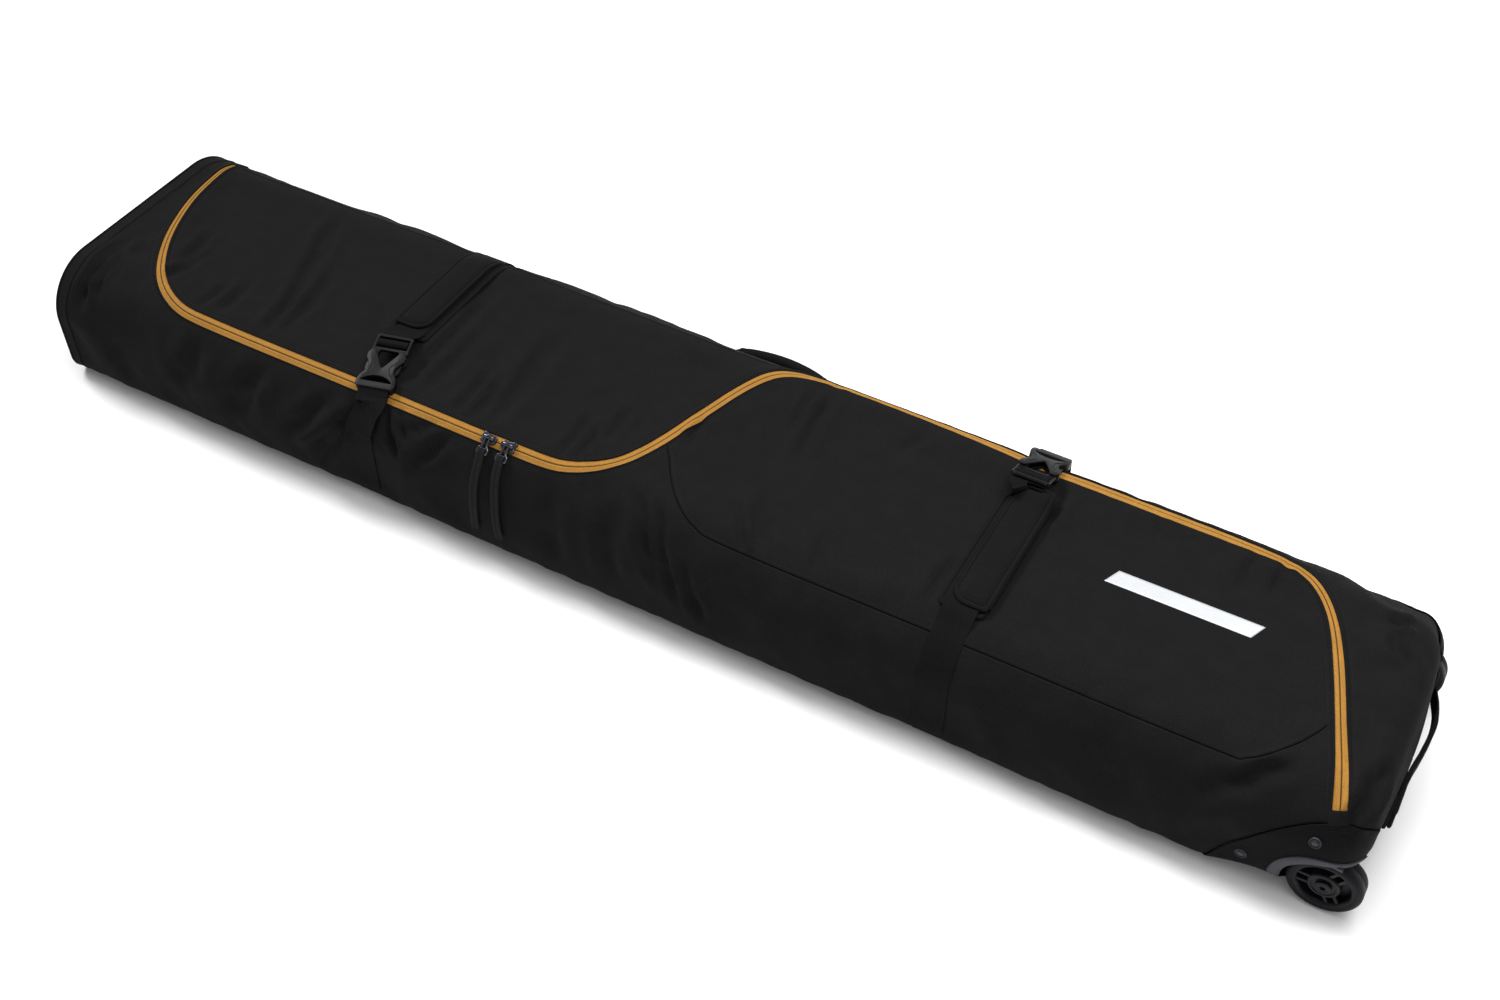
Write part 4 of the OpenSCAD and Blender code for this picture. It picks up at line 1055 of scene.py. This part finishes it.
def female_half():
    lobe = curve([(-12, 14.5), (-13.4, 17), (-12.6, 20.8), (-7, 23.8), (0, 23), (6, 19), (12, 16.4), (18, 18),
                  (24, 21.8), (31, 23.9), (38, 23.8), (41.2, 21.6)]) + [(41.4, 20.5)]
    notch = curve([(-12, 14.5), (-9.5, 13.2), (-4, 10.2), (4, 5.6), (10.4, 1.8), (12, 0)], 1.5)[::-1]
    top = mirrored(notch + lobe[1:])[:-1]
    hole = curve([(31.6, 18.6), (29, 15.6), (26.4, 11), (24.6, 5.5), (24.2, 0)], 1.5)
    arch = hole + [(x, -y) for x, y in hole[::-1]][1:] + [(32.6, -18.6), (32.6, 18.6)]
    block = mirrored([(20, 18.4)] + [p for p in lobe if p[0] > 20.5])
    parts = [plate([top, arch], 2.3, 4.9, 0.9), plate([top, arch], -4.7, -2.4, 0.8),
             plate([block, arch], -3.2, 3.2, 0.3)]
    wall = [(-11.5, 21.2), (-6.5, 23.4), (-0.5, 22.6), (-1.0, 21.2), (-7, 21.6), (-10.5, 20.0)]
    rim = curve([(-8, 18.6), (-2, 17.6), (5, 13.6), (11, 9.8), (18, 11.4), (26, 17.4), (33, 20.6)], 1.5)
    for side in (-1, 1):
        parts.append(plate([[(x, side * y) for x, y in wall]], -3.2, 3.2, 0.25))
        parts.append(rod([(x, side * y, 4.75) for x, y in rim], 1.0, 0.55, 8))
    return join_meshes(parts)


def prong(side):
    outer = curve([(19.6, 16.6), (18.4, 19.4), (15, 20.9), (9, 21.4), (4, 21.1), (-3, 19.6), (-8.6, 18.4),
                   (-11.6, 17.4)], 1.4)
    inner = curve([(-11.2, 12.6), (-4, 11.7), (2, 11.5), (10, 12.0), (15, 12.8), (19, 14.6)], 1.4)
    ridges = [rod([(x, side * 21.2, z) for z in (-1.7, 0, 1.7)], 0.55, 1.0, 8, (1, 0, 0))
              for x in (5, 7.6, 10.2, 12.8)]
    return join_meshes([plate([[(x, side * y) for x, y in outer + inner]], -2.1, 2.1, 0.6)] + ridges)


for name, matrix in (("front", FRONT), ("rear", REAR)):
    add("buckle_%s_ladder" % name, *moved(male_half(), matrix), "frame", nodes=["buckle_male_" + name],
        smooth=50)
    add("buckle_%s_socket" % name, *moved(female_half(), matrix), "buckle", "female_" + name,
        ["buckle_female_" + name], smooth=50)
    for side, hand in ((1, "left"), (-1, "right")):
        add("buckle_%s_arm_%s" % (name, hand), *moved(prong(side), matrix), "buckle",
            "prong_%s_%s" % (name, hand), ["prong_%s_%s" % (name, hand)], smooth=50)

# ---- Zip sliders and pulls

SLIDER_Y = -133.0
LEAN = math.asin((-SLIDER_Y - EDGE) / TOP_R)
slider_at = Vector((0, SLIDER_Y, TOP_Z - TOP_R * (1 - math.cos(LEAN))))
BODY_SCALE, LINK_SCALE = 1.28, 1.15
HANG = 34  # how far the link hangs down, in degrees


def slider(name, x, ahead, reach):
    """A slider, its link and its fabric pull; ahead is where its nose points, reach how far the pull slants."""
    m = Matrix.Translation(slider_at + Vector((x, 0, 0))) @ Matrix.Rotation(LEAN, 4, "X")
    half = curve([(-7.6, 0), (-7.2, 2.6), (-5.6, 3.8), (-2, 3.9), (2, 4.6), (5.4, 5.4), (7.6, 4.2), (7.2, 1.6),
                  (6.0, 0)], 0.9)

    def wing(size, low, high, bevel):
        edge = [(ahead * px * size, py) for px, py in half]
        return plate([edge + mirrored(edge)[len(edge) + 1:-1]], low, high, bevel)

    post = moved(plate([rounded(3.2, 3.0, 1.2)], 0.4, 2.4, 0.2), Matrix.Translation((ahead * 5.4, 0, 0)))
    bridge = smooth([(-5.2, 0, 2.6), (-5.4, 0, 5.2), (-3.8, 0, 6.5), (0, 0, 6.9), (3.8, 0, 6.5), (5.4, 0, 5.2),
                     (5.2, 0, 2.6)], 0.8)
    parts = [wing(1, 1.5, 3.7, 0.8), wing(0.96, -0.6, 0.9, 0.3), post, rod(bridge, 1.25, 1.5, up=(0, 1, 0))]
    add("zip_slider_%s_body" % name, *moved(join_meshes(parts), m @ Matrix.Scale(BODY_SCALE, 4)), "metal",
        "slider_" + name, ["zip_slider_" + name], smooth=45)

    pivot = m @ Vector((0, 0, 6.6))
    hang = Matrix.Translation(pivot) @ spin(HANG, "X") @ Matrix.Scale(LINK_SCALE, 4)
    half = [(1.9, 1.2), (2.3, -2), (2.4, -8.5), (3.4, -11), (5.2, -12.6), (5.6, -15.6), (4.4, -17.2)]
    loop = smooth([(-1.9, 1.2), (0, 2.0)] + half + [(0, -17.4)] + [(-px, py) for px, py in half[:0:-1]], 0.8,
                  closed=True)[:-1]
    wire = sweep(np.column_stack([loop, np.zeros(len(loop))]), UP, round_profile(1.45, 10), closed=True)
    bar = rod([(px, -12.4, 0) for px in np.linspace(-4.6, 4.6, 7)], 1.0, n=10)
    add("pull_%s_loop" % name, *moved(join_meshes([wire, bar]), hang), "metal", "pull_" + name,
        ["pull_link_" + name], smooth=45)

    upper = hang.to_3x3() @ Vector(UP)
    stops = [(*(hang @ Vector(p)), *upper) for p in ((0, -13.8, 1.3), (0, -16.6, 2.1))]
    for s, lift, share in ((168, 6.2, 0.05), (180, 5.4, 0.12), (196, 4.8, 0.3), (214, 4.5, 0.52),
                           (232, 4.4, 0.76), (250, 4.3, 1)):
        stops += fabric_stops(x + reach * share, [(-s, lift)])
    points, normals = route3(stops, 2.0)
    strand = [(-5.6, 0), (-5.2, 0.9), (-3.2, 1.25), (-1.2, 1.0), (0, 0.15), (1.2, 1.0), (3.2, 1.25), (5.2, 0.9),
              (5.6, 0), (5.0, -0.9), (0, -1.0), (-5.0, -0.9)]
    narrow = np.interp(np.arange(len(points)), [0, 4, len(points) - 3, len(points) - 1], [0.8, 1, 1, 0.9])
    profile = np.array(strand)[None] * np.stack([narrow, np.ones(len(points))], -1)[:, None]
    add("pull_%s_tab" % name, *sweep(points, normals, profile), "ribbon", "pull_" + name,
        ["pull_tab_" + name], smooth=60)


slider("a", -192.0, -1, 1.0)
slider("b", -166.0, 1, 9.0)

# ---- Wheels


def wheel_frame(side):
    return Matrix.Translation((AXLE_X, 0, WHEEL_R)) @ spin(-90 * side, "X")


INNER, OUTER = WHEEL_Y - WHEEL_W, WHEEL_Y


def turned(stops, n=48):
    """A turned part from (radius, depth) points, depth measured from the wheel's outer face."""
    return lathe([(r, OUTER - depth) for r, depth in stops], n)


def tyre():
    back = arc2(WHEEL_R - 4, WHEEL_W - 4, 4, 85, 0, 6)
    crown = [(38.45, 12.8), (38.1, 12.4), (38.45, 12)]
    shoulder = arc2(WHEEL_R - 6.5, 6.5, 6.5, 0, -80, 8)
    face = [(31.5, 0.2), (29.7, 0.7), (29.6, 4), (29.6, WHEEL_W - 1)]
    return turned(back + crown + shoulder + face, 96)


def core():
    parts = [turned([(26.2, 5.0), (27.2, 2.6), (29.2, 0.9), (29.9, 0.8), (29.9, 22), (25.8, 22)], 96),
             turned([(7, 15), (27, 15), (27, 12), (16, 11.4), (7, 11.4)], 72),
             turned([(8.9, 3.4), (9.4, 2.4), (12.2, 2.4), (12.8, 1.5), (15.2, 1.5), (16.4, 2.6), (17.2, 14),
                     (8.9, 14)], 72),
             turned([(9.0, 14.5), (13.5, 14.5), (13.0, 22.6), (9.0, 23.0)])]
    spoke = plate([rounded(15, 3.8, 0.9, 3)], INNER + 10, OUTER - 3.0, 0.7)
    floor = plate([rounded(13, 9, 1.2, 3)], INNER + 10, INNER + 15, 0.5)
    for k in range(3):
        for part, at in ((spoke, (21, -5.4, 0)), (spoke, (21, 5.4, 0)), (floor, (19.5, 0, 0))):
            parts.append(moved(part, spin(60 + 120 * k, "Z") @ Matrix.Translation(at)))
    return join_meshes(parts)


def bolt():
    end = OUTER - WELL_Y + 12  # depth of the bolt's inner end
    return join_meshes([
        plate([round_profile(8.6, 48), round_profile(3.1, 6)], OUTER - 2.2, OUTER + 0.9, 0.7),
        turned([(5.2, -0.6), (5.6, -1.3), (6.4, -1.3), (6.8, -0.6)]),
        turned([(0.01, 1.6), (4.9, 1.6), (4.9, 21), (4.9, end), (0.01, end)], 32),
        turned([(5, 24.2), (7.4, 24.2), (7.8, 24.8), (7.8, end - 12.6), (5, end - 12.2)], 40),
        plate([round_profile(8.6, 6)], OUTER - end - 0.5, OUTER - end + 5, 0.6)])


def lip_part(side):
    """The moulded flange around a wheel's arch."""
    front, over_top, _ = arch_outline(side)
    line = resample(np.array([p for p in front + over_top[:10] if s_of_z(31, side) * side > p[1] * side]), 2.0)
    along = np.concatenate([[0], np.cumsum(np.linalg.norm(np.diff(line, axis=0), axis=1))])
    outward = left_of(line) * side
    centre = np.array([AXLE_X, s_of_z(WHEEL_R, side)])
    if np.mean(((line - centre) * outward).sum(1)) < 0:
        outward = -outward
    wide = np.interp(along, [0, 20, 60, along[-1] - 30, along[-1] - 8, along[-1]],
                     [9.5, 9.2, 6.4, 4.8, 3.2, 1.0])
    normals = place(line[:, 0], line[:, 1])[1]
    columns = []
    for off, lift in ((-2.6, -9.0), (-2.6, 1.4), (-1.9, 2.4), (-0.8, 2.9), (0.45, 3.1), (0.86, 2.9),
                      (0.97, 2.2), (1.0, -0.6)):
        flat = line + outward * np.reshape(off if off < 0 else off * wide, (-1, 1))
        columns.append(place(flat[:, 0], flat[:, 1], max(lift, -0.6))[0] + normals * min(lift + 0.6, 0))
    grid = np.stack(columns, 1)
    rows, cols = grid.shape[:2]
    faces = strip_faces(rows, cols, wrap_cols=True)
    faces += [tuple(range(cols)), tuple(range((rows - 1) * cols, rows * cols))[::-1]]
    return grid.reshape(-1, 3), faces


def rivet(v, z, side):
    p, n = spot(v, s_of_z(z, side), 1.2)
    m = Matrix.Translation(p) @ Vector(n).to_track_quat("Z", "Y").to_matrix().to_4x4()
    washer = lathe([(3.0, -1.4), (5.4, -1.4), (5.4, 0.35), (3.0, 0.3)], 32)
    edge = lathe([(5.2, -1.2), (6.3, -1.2), (6.4, 0.5), (6.0, 1.1), (5.5, 1.1), (5.2, 0.5)], 32)
    dome = lathe([(0.01, -1), (3.5, -1), (3.5, 0.7), (2.9, 1.25), (1.7, 1.6), (0.01, 1.7)], 28)
    return moved(washer, m), moved(join_meshes([edge, dome]), m)


def cut_well(wheel):
    """The moulded well of a wheel, ended level with both ends of its lip."""
    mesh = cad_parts["wheel_housing_" + wheel].data.copy()
    bm = bmesh.new()
    bm.from_mesh(mesh)
    bmesh.ops.remove_doubles(bm, verts=bm.verts, dist=0.005 * MM)
    for at, away in (((768, 0, 34), (-0.62, 0, -0.78)), ((822, 0, 0), (1, 0, 0))):
        cut = bmesh.ops.bisect_plane(bm, geom=bm.verts[:] + bm.edges[:] + bm.faces[:], dist=1e-6,
                                     plane_co=Vector(at) * MM, plane_no=away, clear_outer=True)
        edges = [e for e in cut["geom_cut"] if isinstance(e, bmesh.types.BMEdge)]
        bmesh.ops.holes_fill(bm, edges=edges, sides=0)
    bm.to_mesh(mesh)
    bm.free()
    return mesh


washers, domes = [], []
for side, name in ((-1, "near"), (1, "far")):
    m = wheel_frame(side)
    add("wheel_%s_tyre" % name, *moved(tyre(), m), "tyre", "wheel_" + name, ["tyre_" + name], smooth=50)
    add("wheel_%s_core" % name, *moved(core(), m), "wheel", "wheel_" + name, ["wheel_core_" + name], smooth=40)
    add("axle_%s_bolt" % name, *moved(bolt(), m), "wheel", nodes=["axle_bolt_" + name], smooth=35)
    add("arch_%s_lip" % name, *lip_part(side), "housing", smooth=35)
    well = finish_piece("wheel_%s_well" % name, cut_well(name), "housing", "bag", ["wheel_housing_" + name])
    soft = well.modifiers.new("edges", "BEVEL")
    soft.width, soft.segments, soft.limit_method, soft.angle_limit = 0.6 * MM, 2, "ANGLE", math.radians(50)
    for v, z in ((728, 47), (789, 107)):
        a, b = rivet(v, z, side)
        washers.append(a)
        domes.append(b)
add("guard_washers", *join_meshes(washers), "wheel", nodes=["housing_rivets"], smooth=40)
add("guard_rivets", *join_meshes(domes), "steel", smooth=50)

# ---- Handles


def planar(m):
    """Points of a flat patch on the matrix's XY plane."""
    a = np.array(m)

    def at(u, w, lift):
        return np.stack(np.broadcast_arrays(u, w, lift), -1) @ a[:3, :3].T + a[:3, 3]
    return at


def patch(name, place_at, normal, w, h, top, cross=True):
    """A sewn anchor patch with a stitched box, w by h, centred on its own origin."""
    cushion(name, pad_outline(-w / 2, w / 2, -h / 2, h / 2, (2, 2, 2, 2), 3.0), ((-0.1, 0), (0.1, 0)), place_at,
            lambda q: lip(q, ((0, top * 0.3), (0.6, top * 0.9), (1.6, top))),
            "webbing", "bag", ["handle_anchors"], under=-0.6, rings=4)
    a, b = w / 2 - 3, h / 2 - 3
    lines = [[(-a, -b), (a, -b), (a, b), (-a, b), (-a, -b)]]
    if cross:
        lines += [[(-a, -b), (a, b)], [(-a, b), (a, -b)]]
    out = []
    for line in lines:
        line = resample(np.array(line, float), 3.6)
        out.append(stitches3(place_at(line[:, 0], line[:, 1], top + 0.1), normal, 2.6, 0.3))
    add(name + "_stitches", *join_meshes(out), "thread", smooth=60)


def on_bow(xs, depth=0.0):
    """Points of the side handle's bowed line, xs along it from its middle."""
    return np.stack([xs + GRIP_X, 176 + GRIP_OUT - GRIP_BOW * xs ** 2 - depth, np.full(len(xs), GRIP_Z)], -1)


def grip():
    xs = np.linspace(-GRIP_L / 2, GRIP_L / 2, 45)
    end = np.clip((GRIP_L / 2 - np.abs(xs)) / 5, 0, 1)
    size = 0.8 + 0.2 * np.sqrt(1 - (1 - end) ** 2) - 0.05 * hump(GRIP_L / 2 - 9 - np.abs(xs), 0, 1.6)
    outline = np.array([(13.5 * math.cos(a) * (1 - 0.08 * math.cos(2 * a)), 8.4 * math.sin(a))
                        for a in circle(28)])
    return sweep(on_bow(xs), (0, 1, 0), outline[None] * size[:, None, None])


grip_piece = add("side_handle_pad", *grip(), "pad", "side_handle", ["side_handle_grip"], smooth=60)
add("side_handle_stitches", *stitches3(resample(on_bow(np.linspace(-55, 55, 40), 8.2), 4.0), (0, -1, 0)),
    "thread", "side_handle", smooth=60)
for side, hand in ((-1, "head"), (1, "wheel")):
    stops = [(GRIP_X + side * x, y, GRIP_Z, 0, 1, 0) for x, y in
             ((97, 175.2), (84, 175.6), (74, 176.6), (66, 183), (59, 191), (48, 195), (34, 198.5))]
    web = webbing("side_handle_web_" + hand, stops, ["side_handle_webbing"], None, 25.0)
    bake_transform(web)
    middle = GRIP_X + side * 84
    patch("side_patch_" + hand, lambda u, w, lift: rolled(middle + u, s_of_z(GRIP_Z, 1) - w, lift), (0, 1, 0),
          34, 30, 2.2)

BOW = [(96, -1.6), (84, 0.2), (74, 3.6), (62, 7.6), (48, 10.4), (34, 11.6), (16, 11.0), (-8, 8.6), (-28, 6.0),
       (-50, 4.6), (-72, 4.6), (-94, 4.8)]  # y of an end handle and how far it stands out there
for side, name, x in ((1, "wheel", TAIL_X + 3.6), (-1, "head", HEAD_X - 2.4)):
    points, normals = route3([(x + side * out, y, 88, side, 0, 0) for y, out in BOW])
    fold = np.interp(points[:, 1], [-94, -40, -24, 40, 56, 96], [1.04, 1.04, 0.8, 0.75, 0.95, 0.9])
    double = np.interp(points[:, 1], [-95, -91, -40, -20, 40, 60, 96], [1.4, 2.8, 2.8, 2.6, 2.6, 1.2, 1])
    profile = np.array(flat_profile(25, 2.0))[None] * np.stack([fold, double], -1)[:, None]
    web = add(name + "_end_handle_web", *sweep(points, normals, profile), "webbing", None,
              [name + "_end_handle"], smooth=60)
    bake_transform(web)
    for hand, y, sink in (("near", -84.0, 0.6), ("far", 90.0, 4.2)):
        m = Matrix.Translation((x - side * sink, y, 88)) @ spin(90 * side, "Y")
        patch("%s_end_patch_%s" % (name, hand), planar(m), (side, 0, 0), 30, 26, 3.2, cross=False)

# ---- Small sewn parts and the print


def zip_tab(name, end, inner):
    """The fabric tab over an end of the zip; end and inner are points of the zip."""
    d = unit(end - inner)

    def at(u, w, lift):
        return place(end[0] + d[0] * u - d[1] * w, end[1] + d[1] * u + d[0] * w, lift)[0]

    cushion(name, pad_outline(-3, 12, -10.5, 10.5, (2, 2, 2, 2), 2.0), ((4.4, 0), (4.6, 0)), at,
            lambda q: lip(q, ((0, 1.4), (0.5, 2.2), (1.4, 2.5))),
            "shell", "bag", ["zip_end_tabs"], under=0.2, rings=2)


zip_tab("zip_tab_wheel", zip_line[-1], zip_line[-7])
zip_tab("zip_tab_head", zip_line[0], zip_line[6])

MARK_X0, MARK_X1, MARK_Y0, MARK_Y1, MARK_SLANT = 498.0, 667.0, 3.0, 24.0, 9.0
mark_u, mark_w = np.meshgrid(np.linspace(0, 1, 60), np.linspace(0, 1, 12), indexing="ij")
mark_v = MARK_X0 + (MARK_X1 - MARK_X0 - MARK_SLANT) * mark_u + MARK_SLANT * mark_w
mark_p, _ = place(mark_v, MARK_Y0 + (MARK_Y1 - MARK_Y0) * mark_w, 0.35)
add("printed_bar", mark_p.reshape(-1, 3), strip_faces(60, 12), "print", smooth=180, thick=0.3)

for node, look in (("base_board", "board"), ("foam_base", "foam"), ("foam_near", "foam"), ("foam_far", "foam"),
                   ("bearings_near", "steel"), ("bearings_far", "steel"), ("inner_strap_head", "webbing"),
                   ("inner_strap_wheel", "webbing")):
    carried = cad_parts[node].data
    carried.materials.clear()
    carried.materials.append(MATERIALS[look])

# ---- Stage, light and camera

def stage():
    """A white floor and a white world."""
    mesh = bpy.data.meshes.new("floor")
    corners = [(x, y, -0.0005) for x, y in ((-9, -9), (9, -9), (9, 9), (-9, 9))]
    mesh.from_pydata(corners, [], [(0, 1, 2, 3)])
    floor = linked("floor", mesh)
    mat = bpy.data.materials.new("floor_paint")
    mat.use_nodes = True
    paint = mat.node_tree.nodes["Principled BSDF"].inputs
    paint["Base Color"].default_value = (0.95, 0.95, 0.95, 1)
    paint["Roughness"].default_value = 0.9
    mesh.materials.append(mat)
    world = bpy.data.worlds.new("studio")
    world.use_nodes = True
    light = world.node_tree.nodes["Background"].inputs
    light["Color"].default_value, light["Strength"].default_value = WHITE, 0.47
    bpy.context.scene.world = world
    bpy.context.scene.view_settings.view_transform = "Standard"


def lamp(name, at, aim, size, watts):
    light = bpy.data.lights.new(name, "AREA")
    light.shape, light.size, light.size_y, light.energy = "RECTANGLE", size[0], size[1], watts
    obj = linked(name, light)
    obj.location = at
    obj.rotation_euler = (Vector(aim) - Vector(at)).to_track_quat("-Z", "Y").to_euler()


stage()
lamp("sky", (1.2, 0.5, 4.4), (0.3, 0, 0), (5.0, 4.0), 105)
lamp("right", (0.85, 0.5, 2.3), (0.5, 0, 0.1), (1.4, 1.1), 26)
sun = linked("sun", bpy.data.lights.new("sun", "SUN"))
sun.data.energy, sun.data.angle = 2.3, math.radians(20)
sun.rotation_euler = Vector((0.85, -0.2, -0.95)).to_track_quat("-Z", "Y").to_euler()

camera = bpy.data.cameras.new("camera")
camera.lens, camera.sensor_width = 43.34, 36.0
eye = linked("camera", camera)
eye.matrix_world = Matrix((
    (0.8721, -0.3514, 0.3406, 0.7906), (0.4894, 0.6263, -0.6069, -1.2798),
    (0.0, 0.6959, 0.7181, 1.5788), (0, 0, 0, 1)))
bpy.context.scene.camera = eye
